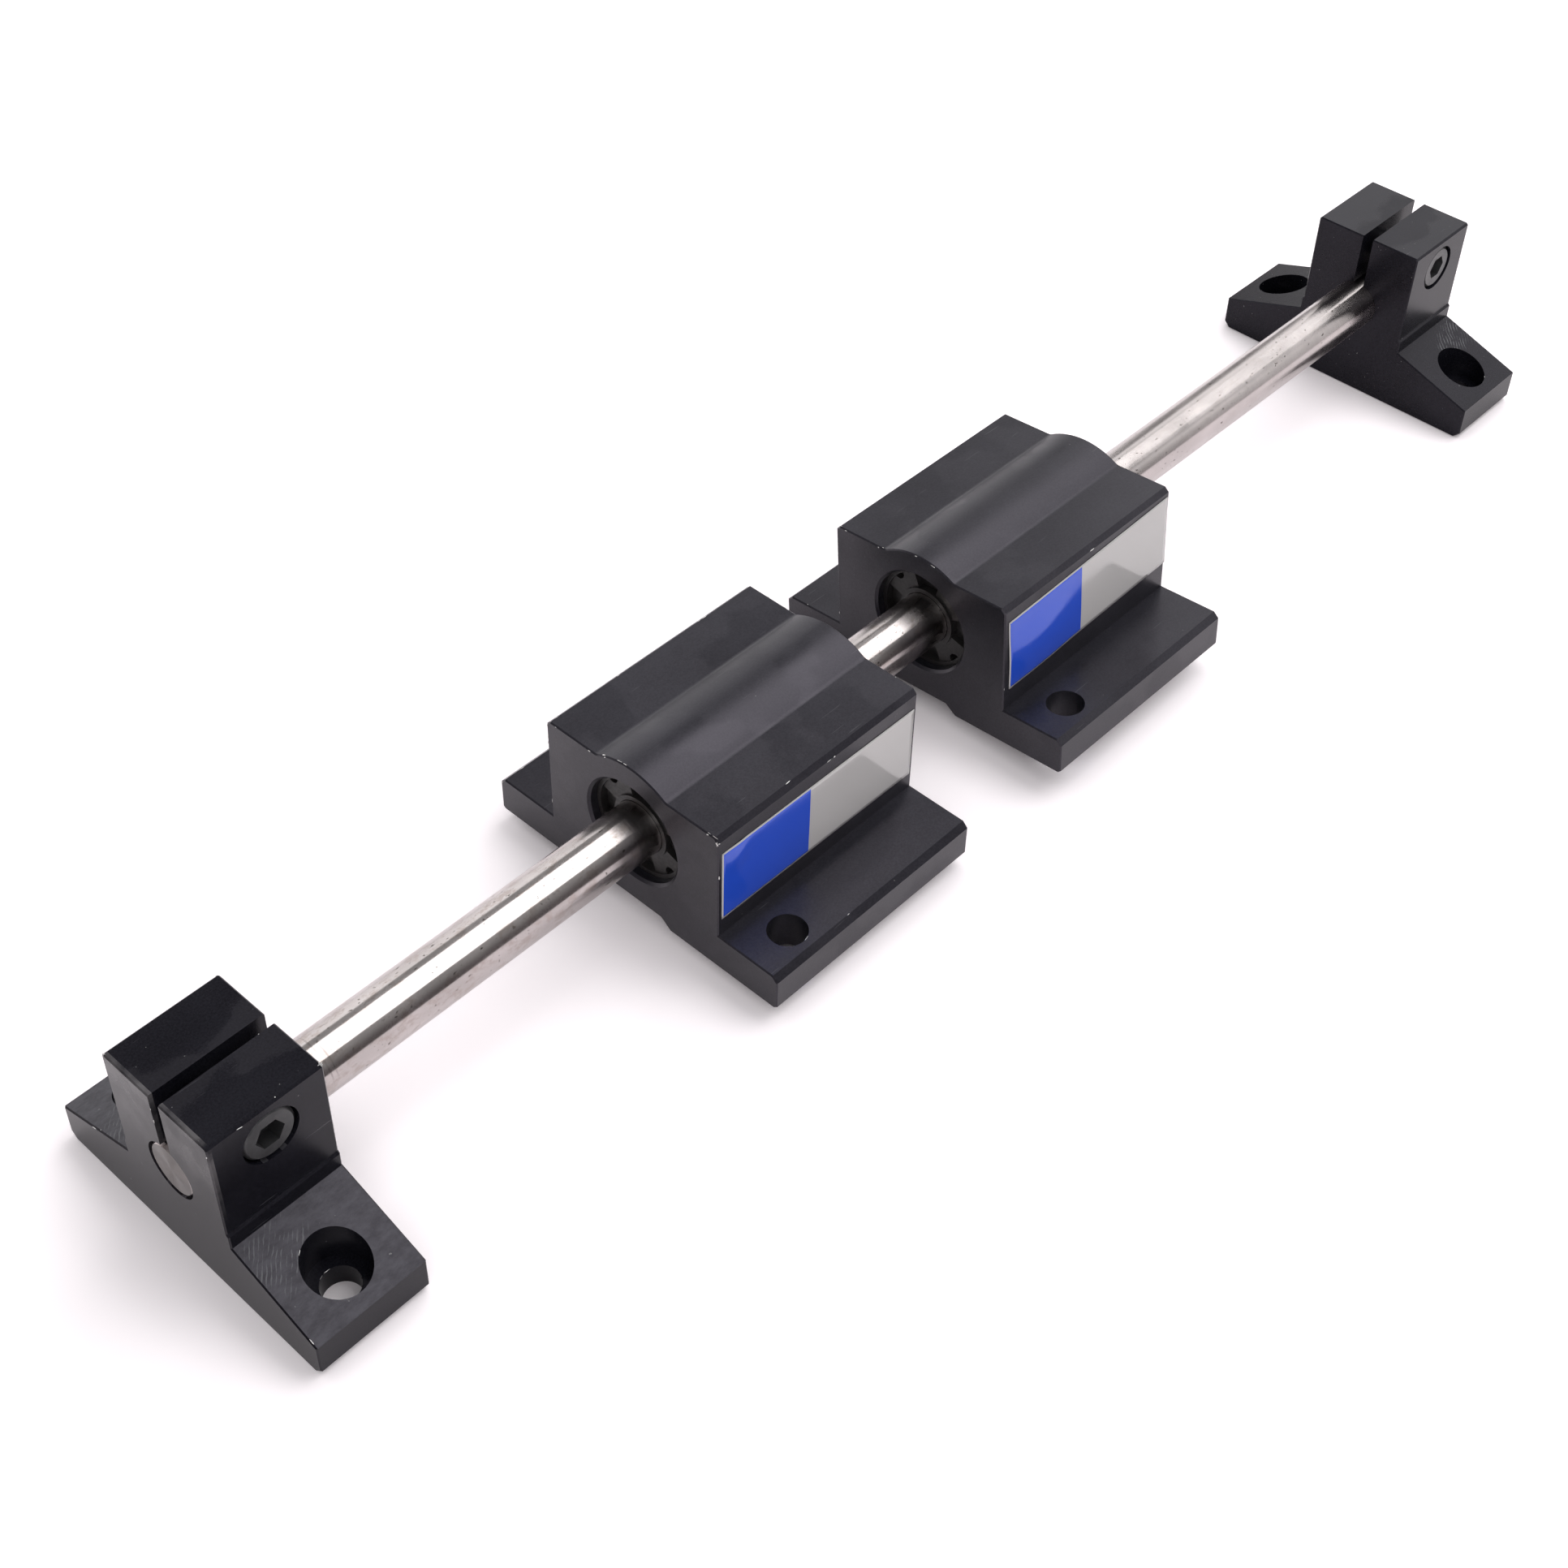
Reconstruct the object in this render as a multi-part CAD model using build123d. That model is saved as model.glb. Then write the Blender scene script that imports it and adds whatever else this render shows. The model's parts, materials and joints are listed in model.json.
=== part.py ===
# A single-shaft linear guide: one round steel shaft held in two split end supports, with two
# pillow blocks that slide along it and swing about it on recessed ball bushings.
# Millimetres. +X runs along the shaft, +Z is up, and the origin lies on the mounting plane,
# midway between the four bolt holes of the end supports.
from math import asin, atan2, cos, degrees, hypot, radians, sin, sqrt
import os
from build123d import *

# Driving dimensions: the shaft
shaft_diameter = 6.35
shaft_height = 12.7
shaft_chamfer = 0.35
shaft_end_gap = 0.1
guide_length = 206.0

# Driving dimensions: the end supports
support_length = 12.7
support_width = 38.1
support_rise = 10.16
upright_width = 15.08
wing_root_height = 8.4
wing_end_height = 4.5
wing_foot_chamfer = 0.8
foot_ledge = 0.25
foot_ledge_height = 1.6
clamp_slit = 1.52
shaft_bore_clearance = 0.02
base_hole_edge_distance = 4.7625
base_hole_diameter = 4.0
counterbore_diameter = 6.6
counterbore_floor = 2.6
support_edge_break = 0.25
support_face_break = 0.15

# Driving dimensions: the clamp screws
screw_drop = 0.57
screw_head_diameter = 5.74
screw_head_length = 3.5
screw_thread_diameter = 3.5
screw_head_clearance = 0.2
screw_head_recess = 0.15
screw_head_chamfer = 0.3
screw_hole_clearance = 0.15
screw_tip_clearance = 0.6
screw_hole_end_wall = 1.33
hex_socket_width = 2.78
hex_socket_depth = 1.6

# Driving dimensions: the pillow blocks
block_length = 30.16
block_width = 41.28
block_axis_height = 11.11
body_width = 24.7
shoulder_height = 18.98
dome_rise = 1.43
dome_fillet = 1.0
flange_height = 4.75
flange_chamfer = 0.68
flange_foot_chamfer = 0.35
shoulder_chamfer = 0.55
block_face_break = 0.15
relief_width = 10.8
relief_slope = 1.4
relief_depth = 1.1
block_hole_diameter = 4.4
block_hole_spacing_x = 19.05
block_hole_edge_distance = 3.74
bore_mouth_chamfer = 0.3

# Driving dimensions: the ball bushings
bushing_diameter = 12.7
bushing_length = 19.05
bushing_housing_clearance = 0.02
cage_bore_clearance = 0.2
circuit_count = 4
circuit_first_angle = 45.0
ball_diameter = 1.19
ball_pitch_gap = 0.16
ball_shaft_clearance = 0.02
ball_plate_clearance = 0.03
plate_width = 2.4
plate_end_distance = 2.125
plate_outer_drop = 0.1
plate_pocket_clearance = 0.1
ball_track_end_distance = 3.425
ball_track_clearance = 0.12
return_row_angle = 30.0
cage_end_chamfer = 0.3

# Driving dimensions: the retaining rings
ring_thickness = 0.64
ring_radial_width = 0.9
ring_groove_depth = 0.35
ring_groove_width = 0.74
ring_groove_clearance = 0.05
ring_gap_angle = 50.0

# Driving dimensions: the wiper seals
seal_recess = 1.2
seal_ring_gap = 0.4
seal_rim_width = 0.5
seal_lip_width = 0.6
seal_shaft_clearance = 0.05
seal_trough_depth = 1.0
seal_pad_drop = 0.25
seal_pad_angle = 52.0
seal_pad_turn = 45.0
seal_scallop_radius = 0.7

# Places of the two blocks along the shaft, from the middle of the guide
near_block_start = -45.33
far_block_start = 0.17
flange_floor_gap = 0.02

# Sizes worked out from the ones above
shaft_radius = shaft_diameter / 2
bushing_radius = bushing_diameter / 2
housing_bore_radius = bushing_radius + bushing_housing_clearance
cage_bore_radius = shaft_radius + cage_bore_clearance
return_row_radius = (cage_bore_radius + bushing_radius) / 2
guide_end = guide_length / 2
near_support_middle = -guide_end + support_length / 2
far_support_middle = guide_end - support_length / 2
support_height = shaft_height + support_rise
base_hole_spacing = support_width - 2 * base_hole_edge_distance
# The clamp screw runs a little below the middle of the metal above the shaft.
screw_height = (shaft_height + shaft_radius + support_height) / 2 - screw_drop
screw_hole_depth = upright_width - screw_hole_end_wall - screw_head_recess - screw_head_length
screw_length = screw_hole_depth - screw_tip_clearance
block_hole_spacing_y = block_width - 2 * block_hole_edge_distance
dome_radius = shoulder_height - block_axis_height + dome_rise
plate_length = bushing_length - 2 * plate_end_distance
ball_track_length = bushing_length - 2 * ball_track_end_distance
# Each seal fills the housing's bore between its mouth and the ring that holds the bushing.
seal_room = (block_length - bushing_length) / 2 - ring_groove_width
seal_thickness = seal_room - seal_ring_gap - seal_recess
flange_corner_y = block_width / 2 - flange_foot_chamfer
flange_corner_reach = hypot(flange_corner_y, block_axis_height)
flange_corner_angle = atan2(block_axis_height, flange_corner_y)
flange_touch_angle = asin((shaft_height - flange_floor_gap) / flange_corner_reach)
# The far block hangs swung about the shaft until its +Y flange all but touches the mounting plane.
far_block_roll = -degrees(flange_touch_angle - flange_corner_angle)


def x_prism(profile, length, start):
    """A prism of a profile drawn in the YZ plane, from X = start towards +X."""
    return Pos(start, 0, 0) * extrude(profile, amount=length, dir=(1, 0, 0))


def yz_polygon(points):
    """A filled outline in the YZ plane."""
    corners = [(0, y, z) for y, z in points]
    return make_face(Polyline(*corners, close=True))


def x_cylinder(radius, length, start, y, z):
    """A cylinder along X."""
    disc = Plane(origin=(start, y, z), x_dir=(0, 1, 0), z_dir=(1, 0, 0)) * Circle(radius)
    return extrude(disc, amount=length)


def y_cylinder(radius, length, x, start, z):
    """A cylinder along +Y."""
    disc = Plane(origin=(x, start, z), x_dir=(1, 0, 0), z_dir=(0, 1, 0)) * Circle(radius)
    return extrude(disc, amount=length)


def z_cylinder(radius, length, x, y, start):
    """A cylinder along +Z."""
    return Pos(x, y, start) * extrude(Circle(radius), amount=length)


def end_outlines(prism):
    """The edges round both end faces of a prism that runs along X."""
    faces = prism.faces().sort_by(Axis.X)
    return faces[0].outer_wire().edges() + faces[-1].outer_wire().edges()


# The shaft
def make_shaft():
    """The ground round shaft, with a small chamfer at each end."""
    length = guide_length - 2 * shaft_end_gap
    rod = x_cylinder(shaft_radius, length, -length / 2, 0, shaft_height)
    ends = rod.edges().filter_by(GeomType.CIRCLE)
    return chamfer(ends, shaft_chamfer)


# The end supports
def wing_height(y):
    """Height of the sloping wing's top at a distance from the middle plane."""
    run = (support_width - upright_width) / 2
    share = (abs(y) - upright_width / 2) / run
    return wing_root_height + share * (wing_end_height - wing_root_height)


def support_profile():
    """Half the outline of the end support, mirrored into the whole one."""
    half_width = support_width / 2
    half_upright = upright_width / 2
    ledge_y = half_upright + foot_ledge
    ledge_top = wing_root_height + foot_ledge_height
    right = [
        (0, 0),
        (half_width - wing_foot_chamfer, 0),
        (half_width, wing_foot_chamfer),
        (half_width, wing_end_height),
        (ledge_y, wing_height(ledge_y)),
        (ledge_y, ledge_top),
        (half_upright, ledge_top + foot_ledge),
        (half_upright, support_height),
        (0, support_height),
    ]
    half = yz_polygon(right)
    return half + mirror(half, about=Plane.XZ)


def make_support(middle):
    """One split clamp support, machined from a bar: upright, two sloping wings, bore and slit."""
    start = middle - support_length / 2
    body = x_prism(support_profile(), support_length, start)
    top_edges = body.edges().group_by(Axis.Z)[-1].filter_by(Axis.X)
    body = chamfer(top_edges, support_edge_break)
    body = chamfer(end_outlines(body), support_face_break)
    bore = x_cylinder(shaft_radius + shaft_bore_clearance, support_length, start, 0, shaft_height)
    slit_height = support_height - shaft_height
    slit = Pos(middle, 0, shaft_height) * Box(
        support_length, clamp_slit, slit_height, align=(Align.CENTER, Align.CENTER, Align.MIN)
    )
    body = body - bore - slit
    for side in (-1, 1):
        y = side * base_hole_spacing / 2
        through = z_cylinder(base_hole_diameter / 2, support_height, middle, y, 0)
        head_room = z_cylinder(counterbore_diameter / 2, support_height, middle, y, counterbore_floor)
        upright_side = Pos(middle, 0, 0) * Box(
            support_length, upright_width + 2 * foot_ledge, support_height,
            align=(Align.CENTER, Align.CENTER, Align.MIN),
        )
        body = body - through - (head_room - upright_side)
    return body - clamp_screw_hole(middle)


def clamp_screw_hole(middle):
    """Counterbore, clearance hole and tapped hole for the clamp screw, from the -Y side."""
    head_seat = -upright_width / 2 + screw_head_recess + screw_head_length
    head_radius = screw_head_diameter / 2 + screw_head_clearance
    head_room = y_cylinder(head_radius, head_seat + upright_width, middle, -upright_width, screw_height)
    thread_end = head_seat + screw_hole_depth
    shank_radius = screw_thread_diameter / 2 + screw_hole_clearance
    shank = y_cylinder(shank_radius, -head_seat, middle, head_seat, screw_height)
    thread = y_cylinder(screw_thread_diameter / 2, thread_end, middle, 0, screw_height)
    return head_room + shank + thread


def make_clamp_screw(middle):
    """The socket head screw that draws the two sides of the split together."""
    head_front = -upright_width / 2 + screw_head_recess
    head_seat = head_front + screw_head_length
    head = y_cylinder(screw_head_diameter / 2, screw_head_length, middle, head_front, screw_height)
    front_edge = head.edges().filter_by(GeomType.CIRCLE).sort_by(Axis.Y)[0]
    head = chamfer(front_edge, screw_head_chamfer)
    thread = y_cylinder(screw_thread_diameter / 2, screw_length, middle, head_seat, screw_height)
    socket_face = Plane(origin=(middle, head_front, screw_height), x_dir=(1, 0, 0), z_dir=(0, 1, 0))
    hexagon = RegularPolygon(hex_socket_width / 2, 6, major_radius=False)
    socket = extrude(socket_face * hexagon, amount=hex_socket_depth)
    return head + thread - socket


# The pillow blocks. Each is built level about the shaft's axis and then rolled into place.
def block_half_outline():
    """Half the block's extruded section, about the bore's axis, as a list of corners."""
    base = -block_axis_height
    half_width = block_width / 2
    half_body = body_width / 2
    shoulder = base + shoulder_height
    flange_top = base + flange_height
    relief_top = base + relief_depth
    return [
        (0, relief_top),
        (relief_width / 2 - relief_slope, relief_top),
        (relief_width / 2, base),
        (half_width - flange_foot_chamfer, base),
        (half_width, base + flange_foot_chamfer),
        (half_width, flange_top - flange_chamfer),
        (half_width - flange_chamfer, flange_top),
        (half_body, flange_top),
        (half_body, shoulder - shoulder_chamfer),
        (half_body - shoulder_chamfer, shoulder),
        (0, shoulder),
    ]


def block_profile():
    """The whole section: flanges, body, underside relief, and the dome round the bore."""
    half = yz_polygon(block_half_outline())
    flat = half + mirror(half, about=Plane.XZ)
    dome = Plane.YZ * Circle(dome_radius)
    return flat + dome


def make_housing(start, roll):
    """The extruded housing with its bore, ring grooves and two diagonal bolt holes."""
    body = x_prism(block_profile(), block_length, start)
    shoulder = shoulder_height - block_axis_height
    root_y = sqrt(dome_radius ** 2 - shoulder ** 2)
    roots = [
        edge
        for edge in body.edges().filter_by(Axis.X)
        if abs(abs(edge.center().Y) - root_y) < dome_fillet / 10 and edge.center().Z > 0
    ]
    body = fillet(roots, dome_fillet)
    body = chamfer(end_outlines(body), block_face_break)
    bore = x_cylinder(housing_bore_radius, block_length, start, 0, 0)
    body = body - bore
    mouths = [
        edge
        for edge in body.edges().filter_by(GeomType.CIRCLE)
        if abs(edge.radius - housing_bore_radius) < bushing_housing_clearance
    ]
    body = chamfer(mouths, bore_mouth_chamfer)
    for groove_start in ring_starts(start):
        centre = groove_start + ring_thickness / 2
        groove_radius = housing_bore_radius + ring_groove_depth
        body = body - x_cylinder(groove_radius, ring_groove_width, centre - ring_groove_width / 2, 0, 0)
    middle = start + block_length / 2
    for side in (-1, 1):
        x = middle + side * block_hole_spacing_x / 2
        y = side * block_hole_spacing_y / 2
        body = body - z_cylinder(block_hole_diameter / 2, flange_height, x, y, -block_axis_height)
    return seat(body, roll)


def seat(shape, roll):
    """Turn a shape about the shaft's axis and lift it to the shaft's height."""
    return Pos(0, 0, shaft_height) * Rot(roll, 0, 0) * shape


def bushing_start(start):
    """The bushing is centred in its housing, recessed by the same amount at both ends."""
    return start + (block_length - bushing_length) / 2


def ring_starts(start):
    """Where the two retaining rings begin: one just outside each end of the bushing."""
    first = bushing_start(start)
    gap = (ring_groove_width - ring_thickness) / 2
    return (first - gap - ring_thickness, first + bushing_length + gap)


def make_ring(ring_start, roll):
    """A C-shaped internal retaining ring, open at the bottom."""
    outer = housing_bore_radius + ring_groove_depth - ring_groove_clearance
    inner = outer - ring_radial_width
    ring = x_cylinder(outer, ring_thickness, ring_start, 0, 0)
    ring = ring - x_cylinder(inner, ring_thickness, ring_start, 0, 0)
    opening = Rot(180, 0, 0) * x_prism(wedge_face(ring_gap_angle, 2 * outer), ring_thickness, ring_start)
    return seat(ring - opening, roll)


def wedge_face(angle, reach):
    """A triangle in the YZ plane that opens upwards from the axis by an angle in degrees."""
    side_y = reach * sin(radians(angle / 2))
    side_z = reach * cos(radians(angle / 2))
    return yz_polygon([(0, 0), (side_y, side_z), (-side_y, side_z)])


def seal_starts(start):
    """Where the two wiper seals begin, each a little inside one end of the housing."""
    return (start + seal_recess, start + block_length - seal_recess - seal_thickness)


def make_seal(seal_start, outward, roll):
    """A wiper seal: a ring that grips the shaft, with four scalloped pads on its outer face."""
    outer = housing_bore_radius - bushing_housing_clearance
    body = x_cylinder(outer, seal_thickness, seal_start, 0, 0)
    face = seal_start if outward < 0 else seal_start + seal_thickness
    trough_start = face if outward < 0 else face - seal_trough_depth
    trough = x_cylinder(outer - seal_rim_width, seal_trough_depth, trough_start, 0, 0)
    trough = trough - x_cylinder(shaft_radius + seal_lip_width, seal_trough_depth, trough_start, 0, 0)
    trough = trough - seal_pads(trough_start, outward)
    lip_hole = x_cylinder(shaft_radius + seal_shaft_clearance, seal_thickness, seal_start, 0, 0)
    return seat(body - trough - lip_hole, roll)


def seal_pads(trough_start, outward):
    """The four pads that stand in the seal's trough, each with a scallop in its outer side."""
    pad_height = seal_trough_depth - seal_pad_drop
    pad_start = trough_start + seal_pad_drop if outward < 0 else trough_start
    wedge = wedge_face(seal_pad_angle, bushing_diameter)
    scallop = x_cylinder(seal_scallop_radius, pad_height, pad_start, 0, bushing_radius - seal_rim_width)
    pad = x_prism(wedge, pad_height, pad_start) - scallop
    return [Rot(seal_pad_turn + 360 * n / circuit_count, 0, 0) * pad for n in range(circuit_count)]


# The ball bushings
def circuit_plane(start):
    """The plane of one ball circuit, upright, and the distance between its two rows.

    The plane's local X runs along the shaft and its local Y from the load row to the return row.
    """
    load_radius = shaft_radius + ball_shaft_clearance + ball_diameter / 2
    turn = radians(return_row_angle)
    across = Vector(0, return_row_radius * sin(turn), return_row_radius * cos(turn) - load_radius)
    middle = Vector(start + bushing_length / 2, 0, load_radius) + across / 2
    return Plane(origin=middle, x_dir=(1, 0, 0), z_dir=Vector(1, 0, 0).cross(across)), across.length


def ball_track(start):
    """The oval tunnel that one circuit of balls runs round: two straights and two half turns."""
    plane, row_gap = circuit_plane(start)
    radius = ball_diameter / 2 + ball_track_clearance
    half_length = ball_track_length / 2
    track = None
    for side in (-1, 1):
        mouth = Plane(origin=(-half_length, side * row_gap / 2, 0), x_dir=(0, 1, 0), z_dir=(1, 0, 0))
        straight = extrude(mouth * Circle(radius), amount=ball_track_length)
        track = straight if track is None else track + straight
        turn_start = Plane(origin=(side * half_length, row_gap / 2, 0), x_dir=(0, 1, 0), z_dir=(1, 0, 0))
        turn_axis = Axis((side * half_length, 0, 0), (0, 0, -side))
        track = track + revolve(turn_start * Circle(radius), turn_axis, 180)
    return plane.location * track


def plate_inner_height():
    """Distance from the shaft's axis to the flat inner face of a bearing plate."""
    return shaft_radius + ball_shaft_clearance + ball_diameter + ball_plate_clearance


def make_plate(start):
    """One hardened bearing plate, upright: flat inside, rounded outside to the bushing's diameter."""
    slab = Pos(start + bushing_length / 2, 0, plate_inner_height()) * Box(
        plate_length, plate_width, bushing_radius, align=(Align.CENTER, Align.CENTER, Align.MIN)
    )
    rounding = x_cylinder(bushing_radius - plate_outer_drop, bushing_length, start, 0, 0)
    return slab & rounding


def plate_pocket(start):
    """The window in the cage that a bearing plate sits in."""
    return Pos(start + bushing_length / 2, 0, plate_inner_height()) * Box(
        plate_length + 2 * plate_pocket_clearance,
        plate_width + 2 * plate_pocket_clearance,
        bushing_radius,
        align=(Align.CENTER, Align.CENTER, Align.MIN),
    )


def round_the_shaft(shape, roll):
    """Copies of a shape at each ball circuit, turned about the shaft and seated on its axis."""
    first = circuit_first_angle
    return [seat(Rot(first + 360 * n / circuit_count, 0, 0) * shape, roll) for n in range(circuit_count)]


def make_cage(start, roll):
    """The moulded cage: a sleeve with a window and an oval ball track for each circuit."""
    sleeve = x_cylinder(bushing_radius, bushing_length, start, 0, 0)
    sleeve = chamfer(sleeve.edges().filter_by(GeomType.CIRCLE), cage_end_chamfer)
    sleeve = sleeve - x_cylinder(cage_bore_radius, bushing_length, start, 0, 0)
    cutter = plate_pocket(start) + ball_track(start)
    for n in range(circuit_count):
        sleeve = sleeve - Rot(circuit_first_angle + 360 * n / circuit_count, 0, 0) * cutter
    return seat(sleeve, roll)


def make_load_row(start):
    """The loaded row of balls of one circuit, evenly spaced under its plate."""
    height = shaft_radius + ball_shaft_clearance + ball_diameter / 2
    count = int(ball_track_length // (ball_diameter + ball_pitch_gap))
    pitch = ball_track_length / count
    first = start + bushing_length / 2 - pitch * (count - 1) / 2
    return [Pos(first + n * pitch, 0, height) * Sphere(ball_diameter / 2) for n in range(count)]


def make_balls(start, roll):
    """All the loaded balls of one bushing."""
    balls = []
    for ball in make_load_row(start):
        balls.extend(round_the_shaft(ball, roll))
    return balls


def save(shapes, name):
    """Write one sub-part: one solid, or several that don't touch."""
    solids = shapes if isinstance(shapes, list) else [shapes]
    bodies = [solid for shape in solids for solid in shape.solids()]
    part = bodies[0] if len(bodies) == 1 else Compound(children=bodies)
    part.label = name
    export_step(part, f"parts/{name}.step")


def save_block(side, start, roll):
    """One pillow block with its bushing, rings and seals."""
    save(make_housing(start, roll), f"{side}_block_housing")
    first = bushing_start(start)
    save(make_cage(first, roll), f"{side}_bushing_cage")
    save(round_the_shaft(make_plate(first), roll), f"{side}_bearing_plates")
    save(make_balls(first, roll), f"{side}_bearing_balls")
    front_ring, back_ring = ring_starts(start)
    save(make_ring(front_ring, roll), f"{side}_retaining_ring_front")
    save(make_ring(back_ring, roll), f"{side}_retaining_ring_back")
    front_seal, back_seal = seal_starts(start)
    save(make_seal(front_seal, -1, roll), f"{side}_wiper_seal_front")
    save(make_seal(back_seal, 1, roll), f"{side}_wiper_seal_back")


os.makedirs("parts", exist_ok=True)
save(make_shaft(), "shaft")
for side, middle in (("near", near_support_middle), ("far", far_support_middle)):
    save(make_support(middle), f"{side}_end_support")
    save(make_clamp_screw(middle), f"{side}_clamp_screw")
save_block("near", near_block_start, 0)
save_block("far", far_block_start, far_block_roll)
print("far block roll", round(far_block_roll, 3), "degrees")
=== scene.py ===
# %% [markdown]
# A linear guide: one polished steel shaft, held at both ends in split black clamps, and two
# black pillow blocks that run on it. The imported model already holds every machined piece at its
# real size. This script gives those pieces their finish, adds the thin stickers, the chipped
# edges and the marks of use, and sets up a pale table, soft lamps and the camera.

# %% Load the frame
import json
import math
import bpy
import bmesh
from mathutils import Matrix, Vector


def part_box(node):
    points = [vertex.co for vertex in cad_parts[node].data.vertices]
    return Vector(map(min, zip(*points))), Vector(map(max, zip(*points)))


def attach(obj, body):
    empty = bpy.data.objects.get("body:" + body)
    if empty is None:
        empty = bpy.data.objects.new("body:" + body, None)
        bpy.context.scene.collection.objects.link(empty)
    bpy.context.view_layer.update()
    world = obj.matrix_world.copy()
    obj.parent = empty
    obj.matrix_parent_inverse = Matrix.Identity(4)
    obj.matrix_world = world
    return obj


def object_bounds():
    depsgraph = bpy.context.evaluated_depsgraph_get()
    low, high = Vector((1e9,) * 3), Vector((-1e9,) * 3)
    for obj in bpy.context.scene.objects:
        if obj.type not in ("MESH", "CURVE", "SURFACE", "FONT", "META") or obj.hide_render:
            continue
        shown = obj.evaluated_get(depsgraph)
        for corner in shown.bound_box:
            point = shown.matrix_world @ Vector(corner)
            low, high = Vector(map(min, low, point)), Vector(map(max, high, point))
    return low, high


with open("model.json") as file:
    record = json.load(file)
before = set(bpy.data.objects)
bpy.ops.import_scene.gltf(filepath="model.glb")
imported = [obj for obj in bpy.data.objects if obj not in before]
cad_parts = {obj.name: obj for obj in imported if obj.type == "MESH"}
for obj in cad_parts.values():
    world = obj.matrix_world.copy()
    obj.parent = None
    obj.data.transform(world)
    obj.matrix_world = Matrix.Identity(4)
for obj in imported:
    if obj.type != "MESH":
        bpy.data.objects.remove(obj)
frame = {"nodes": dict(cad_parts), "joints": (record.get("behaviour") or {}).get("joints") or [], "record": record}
cad_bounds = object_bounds()
nodes = frame["nodes"]
print("pieces in the frame:", len(nodes))

MM = 0.001
MICRON = 0.001 * MM

# %% [markdown]
# Where things are. The swivel joints lie on the shaft's axis, so they give its height. The far
# block hangs swung about the shaft, and the axis of its bolt pattern says by how much. Reading
# both from the record keeps this script right if the machined model moves.

# %% Read the places that the finish depends on
joints = {joint["name"]: joint for joint in frame["joints"]}
mounts = {mount["name"]: mount for mount in frame["record"]["mounts"]}
shaft_height = joints["near_swivel"]["pos_m"][2]
_, lean_y, lean_z = mounts["far_block_bolts"]["axis"]
block_roll = {"near": 0.0, "far": math.atan2(-lean_y, lean_z)}
print("shaft height mm:", round(shaft_height / MM, 2))
print("far block's roll in degrees:", round(math.degrees(block_roll["far"]), 2))

# %% [markdown]
# The camera. It looks down from the near end, from the side of the stickers, through a lens of
# normal length. Its place and its aim were fitted to the corners of the guide in the photograph.
# The small shift puts the guide where the photograph has it in the square frame; turning the
# camera instead would change the perspective.

# %% Make the camera
IMAGE_SIDE = 1932
SENSOR_WIDTH = 36.0
FOCAL_PIXELS = 2897.0
PRINCIPAL_X = 967.5
PRINCIPAL_Y = 840.5
CLIP_START = 0.01
CLIP_END = 10
CAMERA_PLACE = Vector((-0.15902, -0.12215, 0.18929))
CAMERA_TARGET = Vector((-0.00753, 0.01318, 0.0))
CAMERA_ROLL = math.radians(1.60)


def aimed(place, target):
    """The matrix of a camera or lamp at a place, turned to a target."""
    turn = (Vector(target) - Vector(place)).to_track_quat("-Z", "Y").to_matrix().to_4x4()
    return Matrix.Translation(place) @ turn


def make_camera():
    """The camera at the photograph's place, turned to its aim and rolled about its own axis."""
    data = bpy.data.cameras.new("camera")
    data.sensor_width = SENSOR_WIDTH
    data.lens = FOCAL_PIXELS / IMAGE_SIDE * SENSOR_WIDTH
    data.shift_x = (IMAGE_SIDE / 2 - PRINCIPAL_X) / IMAGE_SIDE
    data.shift_y = (PRINCIPAL_Y - IMAGE_SIDE / 2) / IMAGE_SIDE
    data.clip_start = CLIP_START
    data.clip_end = CLIP_END
    camera = bpy.data.objects.new("camera", data)
    bpy.context.scene.collection.objects.link(camera)
    camera.matrix_world = aimed(CAMERA_PLACE, CAMERA_TARGET) @ Matrix.Rotation(CAMERA_ROLL, 4, "Z")
    return camera


camera = make_camera()
bpy.context.scene.camera = camera
bpy.context.scene.view_settings.view_transform = "Standard"
print("lens mm:", round(camera.data.lens, 2))

# %% [markdown]
# Helpers for node trees. A material is a graph of nodes, and wiring one by hand takes many
# lines that all do the same. So a few short functions come first: two add and wire a node, two
# calculate, three turn a value into a colour or a mask, and one starts a new material.

# %% Add and wire nodes


def plug(tree, node, inputs):
    """Set or link a node's inputs, given by name or number, to values or sockets."""
    for name, value in inputs.items():
        if isinstance(value, bpy.types.NodeSocket):
            tree.links.new(value, node.inputs[name])
        else:
            node.inputs[name].default_value = value


def add_node(tree, kind, inputs=None, **settings):
    """A new node with its settings and its inputs."""
    node = tree.nodes.new(kind)
    for name, value in settings.items():
        setattr(node, name, value)
    plug(tree, node, inputs or {})
    return node


def math_node(tree, operation, a, b=0.0):
    """One sum, product or the like of two values or sockets."""
    return add_node(tree, "ShaderNodeMath", {0: a, 1: b}, operation=operation).outputs[0]


def product(tree, *factors):
    """The product of some values or sockets."""
    total = factors[0]
    for factor in factors[1:]:
        total = math_node(tree, "MULTIPLY", total, factor)
    return total


def ramp(tree, value, stops):
    """A colour ramp; each stop is a place and a grey level or a colour."""
    node = add_node(tree, "ShaderNodeValToRGB", {"Fac": value})
    elements = node.color_ramp.elements
    while len(elements) < len(stops):
        elements.new(0.5)
    for element, (place, colour) in zip(elements, stops):
        element.position = place
        grey = isinstance(colour, (int, float))
        element.color = (colour, colour, colour, 1) if grey else (*colour, 1)
    return node.outputs["Color"]


def span(tree, value, edge, ends):
    """One end below the edge's first value, the other above its second, and even between them."""
    return ramp(tree, value, list(zip(edge, ends)))


def mask(tree, value, edge):
    """0 below the edge's first value, 1 above its second, and even between them."""
    return span(tree, value, edge, (0.0, 1.0))


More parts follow.
